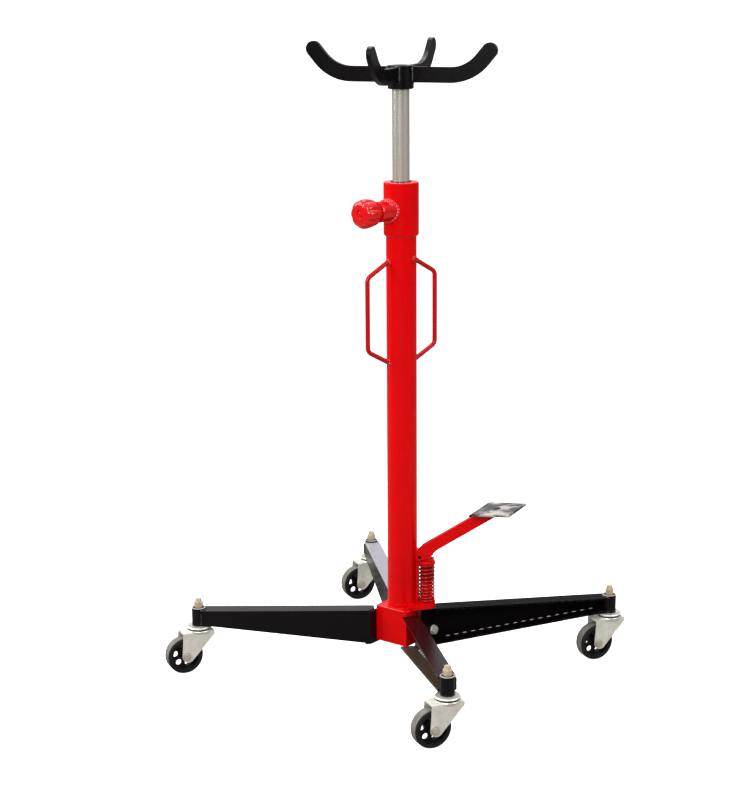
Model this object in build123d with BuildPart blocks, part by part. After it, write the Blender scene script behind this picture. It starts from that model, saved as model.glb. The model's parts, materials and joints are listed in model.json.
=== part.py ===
"""Hydraulic transmission jack: a four-legged wheeled base, a tall ram column, a foot pump and a cradle.

Millimetres, +Z up. The origin is on the column's axis at floor level, and the front leg points to -Y.
"""
import os
from math import cos, pi, radians, sin

from build123d import *

# ---- driving dimensions -------------------------------------------------------------------------
# Headings are degrees from +X, seen from above.
FRONT = -90

# Hub: a square block turned on the column, its faces between the legs.
HUB_SIDE = 76
HUB_HALF = HUB_SIDE / 2
HUB_FACE = -42.4  # heading of the face between the front and the right leg
HUB_BOTTOM, HUB_TOP = 52.5, 126

# Legs: open steel channels in a cross whose centre stands a little off the column.
CROSS_X = 6
CROSS_SKEW = 5.23  # the front and rear legs are turned this much out of square
LEG_REACH = 422  # cross centre to caster stem
LEG_HALF = 17  # half the channel's width
SHEET = 4  # channel wall
LEG_START = 58
LEG_BOTTOM = (47.4, 99.6)  # the underside's height at the start and at the stem
RIGHT_LEG_BOTTOM = (39.5, 98)  # the right leg is deeper at its root
LEG_TOP = (119.5, 129.8)
TAB_TOP = 118
SHELF_START = 38  # a welded leg's bottom flange runs on under the hub to here
TAB_END = 7.2  # the bolted tab stops this far along the hub's face

# Column, ram and the head of the jack.
COLUMN_R, COLUMN_BORE_R = 30.15, 26.95
COLUMN_BOTTOM, COLUMN_TOP = 118, 965
COLLAR_R = 34.75
COLLAR_BOTTOM, COLLAR_TOP = 887, 991
CYLINDER_R, CYLINDER_BORE_R = 24, 20
CYLINDER_BOTTOM, CYLINDER_TOP = 100, 975
GLAND_SKIRT_BOTTOM = 945
GLAND_FLANGE_R = 22
ROD_R = 17
ROD_TOP = 1169.7
PISTON_BOTTOM, PISTON_TOP = 285, 335
RUNNING = 0.05  # radial play of a turning or sliding fit
FREE = 0.3  # gap between faces that only pass each other

# Saddle: a round hub with four flat arms bent upwards.
SADDLE_R = 25.25
SADDLE_BOTTOM, SADDLE_TOP = 1170, 1215
SPIGOT_R, SPIGOT_TOP = 12.7, 1194  # the saddle turns on the rod's spigot
ADAPTER_R, ADAPTER_BOTTOM = 14, 1195  # open socket above the spigot
ARM_HEADINGS = {"right": -23, "rear": 64.5, "left": 157, "front": 247}
ARM_HALF_DEPTH, ARM_THICKNESS = 15, 10
ARM_Z = 1197.5
ARM_STRAIGHT, ARM_BEND_R, ARM_BEND, ARM_TIP = 99, 83, 50, 22.5

# Carrying handles: bent rod, one each side of the column.
HANDLE_HEADINGS = {"front": -152, "rear": 28}
HANDLE_ROD_R = 4.75
HANDLE_POINTS = [(22, 842.2), (79, 808), (79, 662), (22, 630.1)]
HANDLE_BEND_R = 14

# Release valve on the collar.
VALVE_HEADING = -140
VALVE_Z = 938
HOUSING_R, HOUSING_END = 20.5, 66.4
SPINDLE_R = 6
KNOB_NECK_R, KNOB_FACE_R, KNOB_END = 21, 28.5, 113
KNOB_LOBES = 8

# Foot pump beside the column.
PUMP_HEADING = -22
PUMP_OUT = 51.7
PUMP_DECK = 134  # top of the pump block
SPRING_R, SPRING_BORE_R = 16.5, 13.5
SPRING_BOTTOM, SPRING_TOP = 138, 220
PLUNGER_R = 7
PIVOT_OUT, PIVOT_Z = 40, 233.4
ROLLER_OUT, ROLLER_Z, ROLLER_R = 56.2, 239.3, 8
TONGUE_HALF = 7
CHEEK = 5
LEVER_SLOPE = 33.6
LEVER_START = (47.6, 246.4)
LEVER_LENGTH = 186
LEVER_HALF_DEPTH = 11.5
PAD_CENTRE = (198.4, 343.6)
PAD_SLOPE = 5
PAD_LENGTH, PAD_WIDTH, PAD_THICKNESS = 86, 95, 5
PAD_CURL_R, PAD_CURL = 12, 50

# Swivel casters.
TRAIL, TRAIL_HEADING = 33.8, 200
WHEEL_R, WHEEL_HALF = 37.5, 13
CORE_R = 29
AXLE_R = 4
STEM_R, STEM_TOP = 6, 152.5
SOCKET_OUTER_R, SOCKET_BOTTOM, SOCKET_TOP = 14, 96, 133
RACE_R = 22.5
FORK_INNER_HALF, FORK_WALL = 15.5, 2.5
FORK_TOP = 86
FORK_LEADING, FORK_TRAILING, FORK_LIP = -27, 39, 8  # the side plate's ends at the crown, and its lip
EYE_BACK, EYE_R, EYE_START, EYE_SWEEP = 4, 13, 215, 145  # the rounded end round the axle
AXLE_HEX, AXLE_HEAD, AXLE_NUT = 13, 5, 6

os.makedirs("parts", exist_ok=True)


# ---- helpers ------------------------------------------------------------------------------------
def out(heading, distance):
    """The point that far from the column's axis along a heading."""
    return distance * cos(radians(heading)), distance * sin(radians(heading))


def level(z, heading=0, x=0, y=0):
    """A horizontal plane whose x axis follows the heading."""
    return Plane(origin=(x, y, z), x_dir=(*out(heading, 1), 0), z_dir=(0, 0, 1))


def upright(heading, x=0, y=0):
    """A vertical plane: its x axis follows the heading, its y axis is +Z, its normal points right."""
    return Plane(origin=(x, y, 0), x_dir=(*out(heading, 1), 0), z_dir=(*out(heading - 90, 1), 0))


def facing(heading, distance, z=0, x=0, y=0):
    """A vertical plane that looks along the heading, with +Z as its y axis."""
    dx, dy = out(heading, distance)
    return Plane(origin=(x + dx, y + dy, z), x_dir=(*out(heading + 90, 1), 0), z_dir=(*out(heading, 1), 0))


def save(sub_part, label):
    """Name the finished piece and write its STEP file."""
    sub_part.part.label = label
    export_step(sub_part.part, f"parts/{label}.step")


def ring(bottom, top, outer, inner):
    """A plain tube on the column's axis."""
    with BuildPart() as tube:
        with BuildSketch(Plane.XY.offset(bottom)):
            Circle(outer)
            if inner:
                Circle(inner, mode=Mode.SUBTRACT)
        extrude(amount=top - bottom)
    return tube


# ---- hub, column and cylinder -------------------------------------------------------------------
EAR_END, EAR_THICKNESS, EAR_TOP = 58, 12, 84
BOLT_DEPTH = 12
BOLT_Z, BOLT_R, BOLT_HEX, BOLT_HEAD = 66, 5, 16, 6.5
BOLT_PLACES = ((HUB_FACE, 48), (HUB_FACE + 180, 22))  # face heading, distance along the face
VALVE_BLOCK_R, VALVE_BLOCK_TOP = 15, 98
OIL_HOLE_R, OIL_HOLE_DEPTH = 4, 30

with BuildPart() as base_hub:
    with BuildSketch(level(HUB_BOTTOM, HUB_FACE)):
        Rectangle(HUB_SIDE, HUB_SIDE)
    extrude(amount=HUB_TOP - HUB_BOTTOM)
    # An ear past the right corner, behind the right leg's bolt.
    with BuildSketch(level(HUB_BOTTOM, HUB_FACE)):
        with Locations((HUB_HALF - EAR_THICKNESS / 2, (HUB_HALF + EAR_END) / 2)):
            Rectangle(EAR_THICKNESS, EAR_END - HUB_HALF)
    extrude(amount=EAR_TOP - HUB_BOTTOM)
    for face, along in BOLT_PLACES:
        with BuildSketch(facing(face, HUB_HALF, BOLT_Z)):
            with Locations((along, 0)):
                Circle(BOLT_R)
        extrude(amount=-BOLT_DEPTH, mode=Mode.SUBTRACT)
    for bottom, radius in ((COLUMN_BOTTOM, COLUMN_R), (CYLINDER_BOTTOM, CYLINDER_R)):
        with BuildSketch(Plane.XY.offset(bottom)):
            Circle(radius)
        extrude(amount=HUB_TOP - bottom, mode=Mode.SUBTRACT)
    with BuildSketch(Plane.XY.offset(HUB_BOTTOM)):
        Circle(VALVE_BLOCK_R)
    extrude(amount=HUB_TOP - HUB_BOTTOM, mode=Mode.SUBTRACT)
save(base_hub, "base_hub")

with BuildPart() as foot_valve_block:
    with BuildSketch(Plane.XY.offset(HUB_BOTTOM + FREE)):
        Circle(VALVE_BLOCK_R)
    extrude(amount=VALVE_BLOCK_TOP - HUB_BOTTOM - FREE)
    with BuildSketch(Plane.XY.offset(VALVE_BLOCK_TOP)):
        Circle(OIL_HOLE_R)
    extrude(amount=-OIL_HOLE_DEPTH, mode=Mode.SUBTRACT)
    chamfer(foot_valve_block.edges().filter_by(GeomType.CIRCLE).sort_by(Axis.Z)[-1], 1)
save(foot_valve_block, "foot_valve_block")

save(ring(COLUMN_BOTTOM, COLUMN_TOP, COLUMN_R, COLUMN_BORE_R), "column_tube")
save(ring(CYLINDER_BOTTOM, CYLINDER_TOP, CYLINDER_R, CYLINDER_BORE_R), "lift_cylinder")

FILLER_HEADING, FILLER_Z, FILLER_R, FILLER_DEPTH = 60, 960, 5, 5
PLUG_HEX_R, PLUG_HEAD = 8, 6
WIPER_R, WIPER_BOTTOM, WIPER_TOP = 20, 987, 993

with BuildPart() as column_collar:
    with BuildSketch(Plane.XY.offset(COLLAR_BOTTOM)):
        Circle(COLLAR_R)
    extrude(amount=COLLAR_TOP - COLLAR_BOTTOM)
    fillet(column_collar.edges().group_by(Axis.Z)[0], 3)
    chamfer(column_collar.edges().group_by(Axis.Z)[-1], 1)
    bores = (
        (COLLAR_BOTTOM, COLUMN_TOP, COLUMN_R),
        (COLUMN_TOP, CYLINDER_TOP, CYLINDER_R),
        (CYLINDER_TOP, COLLAR_TOP, GLAND_FLANGE_R),
    )
    for bottom, top, radius in bores:
        with BuildSketch(Plane.XY.offset(bottom)):
            Circle(radius)
        extrude(amount=top - bottom, mode=Mode.SUBTRACT)
    with BuildSketch(facing(FILLER_HEADING, COLLAR_R + 1, FILLER_Z)):
        Circle(FILLER_R)
    extrude(amount=-FILLER_DEPTH, mode=Mode.SUBTRACT)
save(column_collar, "column_collar")

with BuildPart() as oil_filler_plug:
    with BuildSketch(facing(FILLER_HEADING, COLLAR_R + 1, FILLER_Z)):
        Circle(FILLER_R)
    extrude(amount=-FILLER_DEPTH)
    with BuildSketch(facing(FILLER_HEADING, COLLAR_R + 1, FILLER_Z)):
        RegularPolygon(PLUG_HEX_R, 6)
    extrude(amount=PLUG_HEAD)
save(oil_filler_plug, "oil_filler_plug")

with BuildPart() as gland_nut:
    with BuildSketch(Plane.XY.offset(GLAND_SKIRT_BOTTOM)):
        Circle(CYLINDER_BORE_R)
    extrude(amount=CYLINDER_TOP - GLAND_SKIRT_BOTTOM)
    with BuildSketch(Plane.XY.offset(CYLINDER_TOP)):
        Circle(GLAND_FLANGE_R)
    extrude(amount=COLLAR_TOP - CYLINDER_TOP)
    with BuildSketch(Plane.XY.offset(GLAND_SKIRT_BOTTOM)):
        Circle(ROD_R + RUNNING)
    extrude(amount=COLLAR_TOP - GLAND_SKIRT_BOTTOM, mode=Mode.SUBTRACT)
    with BuildSketch(Plane.XY.offset(WIPER_BOTTOM)):
        Circle(WIPER_R)
    extrude(amount=COLLAR_TOP - WIPER_BOTTOM, mode=Mode.SUBTRACT)
save(gland_nut, "gland_nut")

save(ring(WIPER_BOTTOM, WIPER_TOP, WIPER_R, ROD_R + RUNNING), "rod_wiper")

# ---- ram ----------------------------------------------------------------------------------------
NECK_R, SEAL_GROOVE_R = 10, 16
SEAL_BOTTOM, SEAL_TOP = 305, 313
PISTON_NUT_BOTTOM, PISTON_NUT_R = 273, 17

with BuildPart() as ram_rod:
    with BuildSketch(Plane.XY.offset(PISTON_TOP)):
        Circle(ROD_R)
    extrude(amount=ROD_TOP - PISTON_TOP)
    with BuildSketch(Plane.XY.offset(ROD_TOP)):
        Circle(SPIGOT_R - RUNNING)
    extrude(amount=SPIGOT_TOP - ROD_TOP)
    with BuildSketch(Plane.XY.offset(PISTON_NUT_BOTTOM)):
        Circle(NECK_R)
    extrude(amount=PISTON_TOP - PISTON_NUT_BOTTOM)
    chamfer(ram_rod.edges().group_by(Axis.Z)[-1], 1)
save(ram_rod, "ram_rod")

with BuildPart() as ram_piston:
    with BuildSketch(Plane.XY.offset(PISTON_BOTTOM)):
        Circle(CYLINDER_BORE_R - RUNNING)
        Circle(NECK_R, mode=Mode.SUBTRACT)
    extrude(amount=PISTON_TOP - PISTON_BOTTOM)
    with BuildSketch(Plane.XY.offset(SEAL_BOTTOM)):
        Circle(CYLINDER_BORE_R)
        Circle(SEAL_GROOVE_R, mode=Mode.SUBTRACT)
    extrude(amount=SEAL_TOP - SEAL_BOTTOM, mode=Mode.SUBTRACT)
save(ram_piston, "ram_piston")

save(ring(SEAL_BOTTOM, SEAL_TOP, CYLINDER_BORE_R - RUNNING, SEAL_GROOVE_R), "piston_seal")

with BuildPart() as piston_nut:
    with BuildSketch(Plane.XY.offset(PISTON_NUT_BOTTOM)):
        RegularPolygon(PISTON_NUT_R, 6)
        Circle(NECK_R, mode=Mode.SUBTRACT)
    extrude(amount=PISTON_BOTTOM - PISTON_NUT_BOTTOM)
save(piston_nut, "piston_nut")

# ---- saddle -------------------------------------------------------------------------------------
SETSCREW_HEADING, SETSCREW_R, SETSCREW_HEX, SETSCREW_HEAD = 112, 4, 13, 5
SETSCREW_Z = 1184

with BuildPart() as saddle_hub:
    with BuildSketch(Plane.XY.offset(SADDLE_BOTTOM)):
        Circle(SADDLE_R)
    extrude(amount=SADDLE_TOP - SADDLE_BOTTOM)
    fillet(saddle_hub.edges().group_by(Axis.Z)[0], 2.5)
    fillet(saddle_hub.edges().group_by(Axis.Z)[-1], 1.5)
    for bottom, top, radius in (
        (SADDLE_BOTTOM, ADAPTER_BOTTOM, SPIGOT_R),
        (ADAPTER_BOTTOM, SADDLE_TOP, ADAPTER_R),
    ):
        with BuildSketch(Plane.XY.offset(bottom)):
            Circle(radius)
        extrude(amount=top - bottom, mode=Mode.SUBTRACT)
    with BuildSketch(facing(SETSCREW_HEADING, 0, SETSCREW_Z)):
        Circle(SETSCREW_R)
    extrude(amount=SADDLE_R + 1, mode=Mode.SUBTRACT)
save(saddle_hub, "saddle_hub")

with BuildPart() as saddle_setscrew:
    with BuildSketch(facing(SETSCREW_HEADING, SPIGOT_R + FREE, SETSCREW_Z)):
        Circle(SETSCREW_R)
    extrude(amount=SADDLE_R + FREE - SPIGOT_R)
    with BuildSketch(facing(SETSCREW_HEADING, SADDLE_R + 2 * FREE, SETSCREW_Z)):
        RegularPolygon(SETSCREW_HEX / 2, 6, major_radius=False)
    extrude(amount=SETSCREW_HEAD)
save(saddle_setscrew, "saddle_setscrew")


def saddle_arm(heading):
    """A flat bar on edge: level, bent up through an arc, straight again, with a round tip."""
    centre = (ARM_STRAIGHT, ARM_Z + ARM_BEND_R)
    end_x = centre[0] + ARM_BEND_R * sin(radians(ARM_BEND)) + ARM_TIP * cos(radians(ARM_BEND))
    end_z = centre[1] - ARM_BEND_R * cos(radians(ARM_BEND)) + ARM_TIP * sin(radians(ARM_BEND))
    root = SADDLE_R - 4
    with BuildPart() as arm:
        with BuildSketch(upright(heading)):
            with BuildLine():
                lower = CenterArc(centre, ARM_BEND_R + ARM_HALF_DEPTH, 270, ARM_BEND)
                upper = CenterArc(centre, ARM_BEND_R - ARM_HALF_DEPTH, 270, ARM_BEND)
                tip = CenterArc((end_x, end_z), ARM_HALF_DEPTH, ARM_BEND - 90, 180)
                Line(lower @ 1, tip @ 0)
                Line(tip @ 1, upper @ 1)
                Polyline(upper @ 0, (root, ARM_Z + ARM_HALF_DEPTH), (root, ARM_Z - ARM_HALF_DEPTH), lower @ 0)
            make_face()
        extrude(amount=ARM_THICKNESS / 2, both=True)
        with BuildSketch(Plane.XY.offset(SADDLE_BOTTOM)):
            Circle(SADDLE_R)
        extrude(amount=SADDLE_TOP - SADDLE_BOTTOM, mode=Mode.SUBTRACT)
    return arm


for name, heading in ARM_HEADINGS.items():
    save(saddle_arm(heading), f"saddle_arm_{name}")


# ---- carrying handles ---------------------------------------------------------------------------
def carry_handle(heading):
    """A rod bent to a shallow C, its ends scribed to the column's wall."""
    plane = upright(heading)
    with BuildPart() as handle:
        with BuildLine(plane):
            route = FilletPolyline(*HANDLE_POINTS, radius=HANDLE_BEND_R)
        with BuildSketch(Plane(origin=route @ 0, z_dir=route % 0)):
            Circle(HANDLE_ROD_R)
        sweep(path=route)
        with BuildSketch(Plane.XY.offset(HANDLE_POINTS[-1][1] - 20)):
            Circle(COLUMN_R)
        extrude(amount=HANDLE_POINTS[0][1] - HANDLE_POINTS[-1][1] + 40, mode=Mode.SUBTRACT)
    return handle


for name, heading in HANDLE_HEADINGS.items():
    save(carry_handle(heading), f"carry_handle_{name}")

# ---- release valve ------------------------------------------------------------------------------
SPINDLE_ROOT, SPINDLE_TIP = 40, 82

with BuildPart() as valve_housing:
    with BuildSketch(facing(VALVE_HEADING, 0, VALVE_Z)):
        Circle(HOUSING_R)
    extrude(amount=HOUSING_END)
    chamfer(valve_housing.edges().filter_by(GeomType.CIRCLE).sort_by(SortBy.DISTANCE)[-1:], 1)
    with BuildSketch(facing(VALVE_HEADING, SPINDLE_ROOT - 1, VALVE_Z)):
        Circle(SPINDLE_R + RUNNING)
    extrude(amount=HOUSING_END, mode=Mode.SUBTRACT)
    with BuildSketch(Plane.XY.offset(VALVE_Z - HOUSING_R - 1)):
        Circle(COLLAR_R)
    extrude(amount=2 * HOUSING_R + 2, mode=Mode.SUBTRACT)
save(valve_housing, "valve_housing")

with BuildPart() as valve_spindle:
    with BuildSketch(facing(VALVE_HEADING, SPINDLE_ROOT, VALVE_Z)):
        Circle(SPINDLE_R)
    extrude(amount=SPINDLE_TIP - SPINDLE_ROOT)
save(valve_spindle, "valve_spindle")

SCALLOP_R, SCALLOP_OUT, SCALLOP_LENGTH = 9, 34.2, 38
KNOB_RIM, KNOB_ROUND = 11, 6  # the straight rim behind the face, and the rounding of its edge
knob_start = HOUSING_END + FREE
with BuildPart() as release_knob:
    with BuildSketch(facing(VALVE_HEADING, knob_start, VALVE_Z)):
        Circle(KNOB_NECK_R)
    with BuildSketch(facing(VALVE_HEADING, KNOB_END - KNOB_RIM, VALVE_Z)):
        Circle(KNOB_FACE_R)
    loft()
    with BuildSketch(facing(VALVE_HEADING, KNOB_END - KNOB_RIM, VALVE_Z)):
        Circle(KNOB_FACE_R)
    extrude(amount=KNOB_RIM)
    fillet(release_knob.edges().filter_by(GeomType.CIRCLE).sort_by(SortBy.DISTANCE)[-1], KNOB_ROUND)
    with BuildSketch(facing(VALVE_HEADING, KNOB_END, VALVE_Z)):
        with PolarLocations(SCALLOP_OUT, KNOB_LOBES, start_angle=180 / KNOB_LOBES):
            Circle(SCALLOP_R)
    extrude(amount=-SCALLOP_LENGTH, mode=Mode.SUBTRACT)
    with BuildSketch(facing(VALVE_HEADING, knob_start, VALVE_Z)):
        Circle(SPINDLE_R)
    extrude(amount=SPINDLE_TIP - knob_start, mode=Mode.SUBTRACT)
save(release_knob, "release_knob")


# ---- legs ---------------------------------------------------------------------------------------
def leg(heading, root, bottom):
    """A channel with its web on the left and its right side open, from the hub out to a caster stem.

    A "tab" root bends the web 45 degrees on to the hub's face for its bolt; a "tongue" root runs the
    web straight on to the face, where it is welded, and its bottom flange on under the hub.
    """
    # The hub's face and the cross's centre, seen in the leg's own directions.
    face = radians(HUB_FACE - heading)
    if cos(face) < 0:
        face += pi
    cx, cy = CROSS_X * cos(radians(heading)), -CROSS_X * sin(radians(heading))
    nx, ny = cos(face), sin(face)
    web_out, web_in = cy + LEG_HALF, cy + LEG_HALF - SHEET
    tip = cx + LEG_REACH
    cut = tip - SOCKET_OUTER_R / 2

    def rise(x, start, end):
        return start + (end - start) * (x - LEG_START) / (LEG_REACH - 10 - LEG_START)

    def profile(x_from, x_to, wall):
        return [
            (x_from, rise(x_from, *bottom) + wall),
            (x_to, rise(x_to, *bottom) + wall),
            (x_to, rise(x_to, *LEG_TOP) - wall),
            (x_from, rise(x_from, *LEG_TOP) - wall),
        ]

    def on_face(distance, y):
        return (distance - ny * y) / nx, y

    side = upright(heading)
    with BuildPart() as channel:
        with BuildSketch(side.offset(-web_out)):
            Polygon(*profile(LEG_START, cut, 0), align=None)
        extrude(amount=2 * LEG_HALF)
        with BuildSketch(side.offset(-web_in)):
            Polygon(*profile(LEG_START - 1, cut + 1, SHEET), align=None)
        extrude(amount=2 * LEG_HALF, mode=Mode.SUBTRACT)
        if root == "tab":
            # Nothing of the channel stays behind the tab.
            with BuildSketch(level(0, heading)):
                Polygon(
                    on_face(HUB_HALF + SHEET, cy - 60), on_face(HUB_HALF + SHEET, cy + 60),
                    (-HUB_SIDE, cy + 60), (-HUB_SIDE, cy - 60), align=None,
                )
            extrude(amount=SOCKET_TOP + HUB_TOP, mode=Mode.SUBTRACT)
            along = (-ny, nx) if ny < 0 else (ny, -nx)
            tab_end = [(d * nx + TAB_END * along[0], d * ny + TAB_END * along[1])
                       for d in (HUB_HALF, HUB_HALF + SHEET)]
            outline = [
                *tab_end,
                on_face(HUB_HALF + SHEET, web_in),
                (LEG_START + 20, web_in),
                (LEG_START + 20, web_out),
                on_face(HUB_HALF, web_out),
            ]
        else:
            with BuildSketch(side.offset(-web_out)):
                shelf = rise(SHELF_START, *bottom)
                Polygon(
                    (SHELF_START, shelf), (LEG_START, bottom[0]), (LEG_START, bottom[0] + SHEET),
                    (SHELF_START, shelf + SHEET), align=None,
                )
            extrude(amount=2 * LEG_HALF)
            outline = [
                on_face(HUB_HALF, web_in),
                (LEG_START + 2, web_in),
                (LEG_START + 2, web_out),
                on_face(HUB_HALF, web_out),
            ]
        tab_bottom = bottom[0]
        with BuildSketch(level(tab_bottom, heading)):
            Polygon(*outline, align=None)
        extrude(amount=TAB_TOP - tab_bottom)
        if root == "tab":
            bolt_along = BOLT_PLACES[0][1] if heading == 0 else BOLT_PLACES[1][1]
            bolt = (HUB_HALF * nx + bolt_along * along[0], HUB_HALF * ny + bolt_along * along[1])
            face_heading = heading + face * 180 / pi
            bx = bolt[0] * cos(radians(heading)) - bolt[1] * sin(radians(heading))
            by = bolt[0] * sin(radians(heading)) + bolt[1] * cos(radians(heading))
            with BuildSketch(facing(face_heading, 0, BOLT_Z, bx, by)):
                Circle(BOLT_R)
            extrude(amount=SHEET, mode=Mode.SUBTRACT)
        with BuildSketch(level(0, heading)):
            with Locations((tip, cy)):
                Circle(SOCKET_OUTER_R)
        extrude(amount=200, mode=Mode.SUBTRACT)
    return channel


LEGS = {
    "right": (0, "tab", RIGHT_LEG_BOTTOM),
    "left": (180, "tab", LEG_BOTTOM),
    "front": (FRONT + CROSS_SKEW, "tongue", LEG_BOTTOM),
    "rear": (FRONT + CROSS_SKEW + 180, "tongue", LEG_BOTTOM),
}
for name, (heading, root, bottom) in LEGS.items():
    save(leg(heading, root, bottom), f"leg_{name}")

stem_points = []
for heading, *_ in LEGS.values():
    dx, dy = out(heading, LEG_REACH)
    stem_points.append((CROSS_X + dx, dy))

with BuildPart() as leg_bolts:
    for face, along in BOLT_PLACES:
        with BuildSketch(facing(face, HUB_HALF - BOLT_DEPTH + 1, BOLT_Z)):
            with Locations((along, 0)):
                Circle(BOLT_R)
        extrude(amount=BOLT_DEPTH - 1 + SHEET)
        with BuildSketch(facing(face, HUB_HALF + SHEET, BOLT_Z)):
            with Locations((along, 0)):
                RegularPolygon(BOLT_HEX / 2, 6, major_radius=False)
        extrude(amount=BOLT_HEAD)
save(leg_bolts, "leg_bolts")

with BuildPart() as stem_sockets:
    with BuildSketch(Plane.XY.offset(SOCKET_BOTTOM)):
        with Locations(*stem_points):
            Circle(SOCKET_OUTER_R)
            Circle(STEM_R, mode=Mode.SUBTRACT)
    extrude(amount=SOCKET_TOP - SOCKET_BOTTOM)
save(stem_sockets, "stem_sockets")

NUT_HEX, NUT_HEIGHT = 17, 12.5
with BuildPart() as stem_nuts:
    with BuildSketch(Plane.XY.offset(SOCKET_TOP)):
        with Locations(*stem_points):
            RegularPolygon(NUT_HEX / 2, 6, major_radius=False)
            Circle(STEM_R, mode=Mode.SUBTRACT)
    extrude(amount=NUT_HEIGHT)
save(stem_nuts, "stem_nuts")

# Each stem carries the fixed race under its socket and a head that holds the fork up.
RACE_BOTTOM = 91.3
HEAD_R, HEAD_BOTTOM = 10, 79
fork_roof = FORK_TOP - FORK_WALL
with BuildPart() as caster_stems:
    with BuildSketch(Plane.XY.offset(HEAD_BOTTOM)):
        with Locations(*stem_points):
            Circle(STEM_R)
    extrude(amount=STEM_TOP - HEAD_BOTTOM)
    with BuildSketch(Plane.XY.offset(HEAD_BOTTOM)):
        with Locations(*stem_points):
            Circle(HEAD_R)
    extrude(amount=fork_roof - FREE - HEAD_BOTTOM)
    with BuildSketch(Plane.XY.offset(RACE_BOTTOM)):
        with Locations(*stem_points):
            Circle(RACE_R)
    extrude(amount=SOCKET_BOTTOM - RACE_BOTTOM)
save(caster_stems, "caster_stems")


# ---- casters ------------------------------------------------------------------------------------
def caster_fork(x, y):
    """A stamped fork: a level crown with a raised race, and two tapering side plates."""
    side = upright(TRAIL_HEADING, x, y)
    outer_half = FORK_INNER_HALF + FORK_WALL
    with BuildPart() as fork:
        with BuildSketch(side.offset(-outer_half)):
            with BuildLine():
                eye = CenterArc((TRAIL - EYE_BACK, WHEEL_R), EYE_R, EYE_START, EYE_SWEEP)
                Polyline(
                    eye @ 1, (FORK_TRAILING, FORK_TOP), (FORK_LEADING, FORK_TOP),
                    (FORK_LEADING, FORK_TOP - FORK_LIP), eye @ 0,
                )
            make_face()
        extrude(amount=2 * outer_half)
        with BuildSketch(side.offset(-FORK_INNER_HALF)):
            with Locations((0, fork_roof / 2)):
                Rectangle(200, fork_roof)
        extrude(amount=2 * FORK_INNER_HALF, mode=Mode.SUBTRACT)
        with BuildSketch(level(FORK_TOP, 0, x, y)):
            Circle(RACE_R)
        extrude(amount=RACE_BOTTOM - FREE - FORK_TOP)
        with BuildSketch(level(0, 0, x, y)):
            Circle(STEM_R + RUNNING)
        extrude(amount=RACE_BOTTOM, mode=Mode.SUBTRACT)
        with BuildSketch(side.offset(-outer_half)):
            with Locations((TRAIL, WHEEL_R)):
                Circle(AXLE_R)
        extrude(amount=2 * outer_half, mode=Mode.SUBTRACT)
    return fork


def caster_axle(x, y):
    """A bolt and nut across the fork."""
    side = upright(TRAIL_HEADING, x, y)
    outer_half = FORK_INNER_HALF + FORK_WALL
    with BuildPart() as axle:
        with BuildSketch(side.offset(-outer_half)):
            with Locations((TRAIL, WHEEL_R)):
                Circle(AXLE_R)
        extrude(amount=2 * outer_half + 2)
        with BuildSketch(side.offset(-outer_half)):
            with Locations((TRAIL, WHEEL_R)):
                RegularPolygon(AXLE_HEX / 2, 6, major_radius=False)
        extrude(amount=-AXLE_HEAD)
        with BuildSketch(side.offset(outer_half)):
            with Locations((TRAIL, WHEEL_R)):
                RegularPolygon(AXLE_HEX / 2, 6, major_radius=False)
        extrude(amount=AXLE_NUT)
    return axle


def wheel_core(x, y):
    """The wheel's centre: a disc with six round openings, a boss for the axle and a flat rim."""
    side = upright(TRAIL_HEADING, x, y)
    web_half, boss_half, boss_r = 3, 15.2, 9
    openings_r, opening_r = 19.5, 6.3
    with BuildPart() as core:
        with BuildSketch(side.offset(-WHEEL_HALF)):
            with Locations((TRAIL, WHEEL_R)):
                Circle(CORE_R)
        extrude(amount=2 * WHEEL_HALF)
        for start, amount in ((-WHEEL_HALF, WHEEL_HALF - web_half), (web_half, WHEEL_HALF - web_half)):
            with BuildSketch(side.offset(start)):
                with Locations((TRAIL, WHEEL_R)):
                    Circle(CORE_R - 2)
            extrude(amount=amount, mode=Mode.SUBTRACT)
        with BuildSketch(side.offset(-boss_half)):
            with Locations((TRAIL, WHEEL_R)):
                Circle(boss_r)
        extrude(amount=2 * boss_half)
        with BuildSketch(side.offset(-boss_half)):
            with Locations((TRAIL, WHEEL_R)):
                Circle(AXLE_R + RUNNING)
                with PolarLocations(openings_r, 6, start_angle=10):
                    Circle(opening_r)
        extrude(amount=2 * boss_half, mode=Mode.SUBTRACT)
    return core


def wheel_tyre(x, y):
    """The tread: a ring with rounded shoulders on the core."""
    side = upright(TRAIL_HEADING, x, y)
    with BuildPart() as tyre:
        with BuildSketch(side.offset(-WHEEL_HALF)):
            with Locations((TRAIL, WHEEL_R)):
                Circle(WHEEL_R)
        extrude(amount=2 * WHEEL_HALF)
        fillet(tyre.edges().filter_by(GeomType.CIRCLE), 3.5)
        with BuildSketch(side.offset(-WHEEL_HALF)):
            with Locations((TRAIL, WHEEL_R)):
                Circle(CORE_R)
        extrude(amount=2 * WHEEL_HALF, mode=Mode.SUBTRACT)
    return tyre


for name, point in zip(LEGS, stem_points):
    save(caster_fork(*point), f"caster_fork_{name}")
    save(caster_axle(*point), f"caster_axle_{name}")
    save(wheel_core(*point), f"wheel_core_{name}")
    save(wheel_tyre(*point), f"wheel_tyre_{name}")

# ---- foot pump ----------------------------------------------------------------------------------
BLOCK_R, BLOCK_BOTTOM = 17.5, HUB_TOP
BLOCK_CORNER_R, BLOCK_INSET = 3, 8
PUMP_SPIGOT_R = 8
pump_side = upright(PUMP_HEADING)
pump_x, pump_y = out(PUMP_HEADING, PUMP_OUT)

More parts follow.
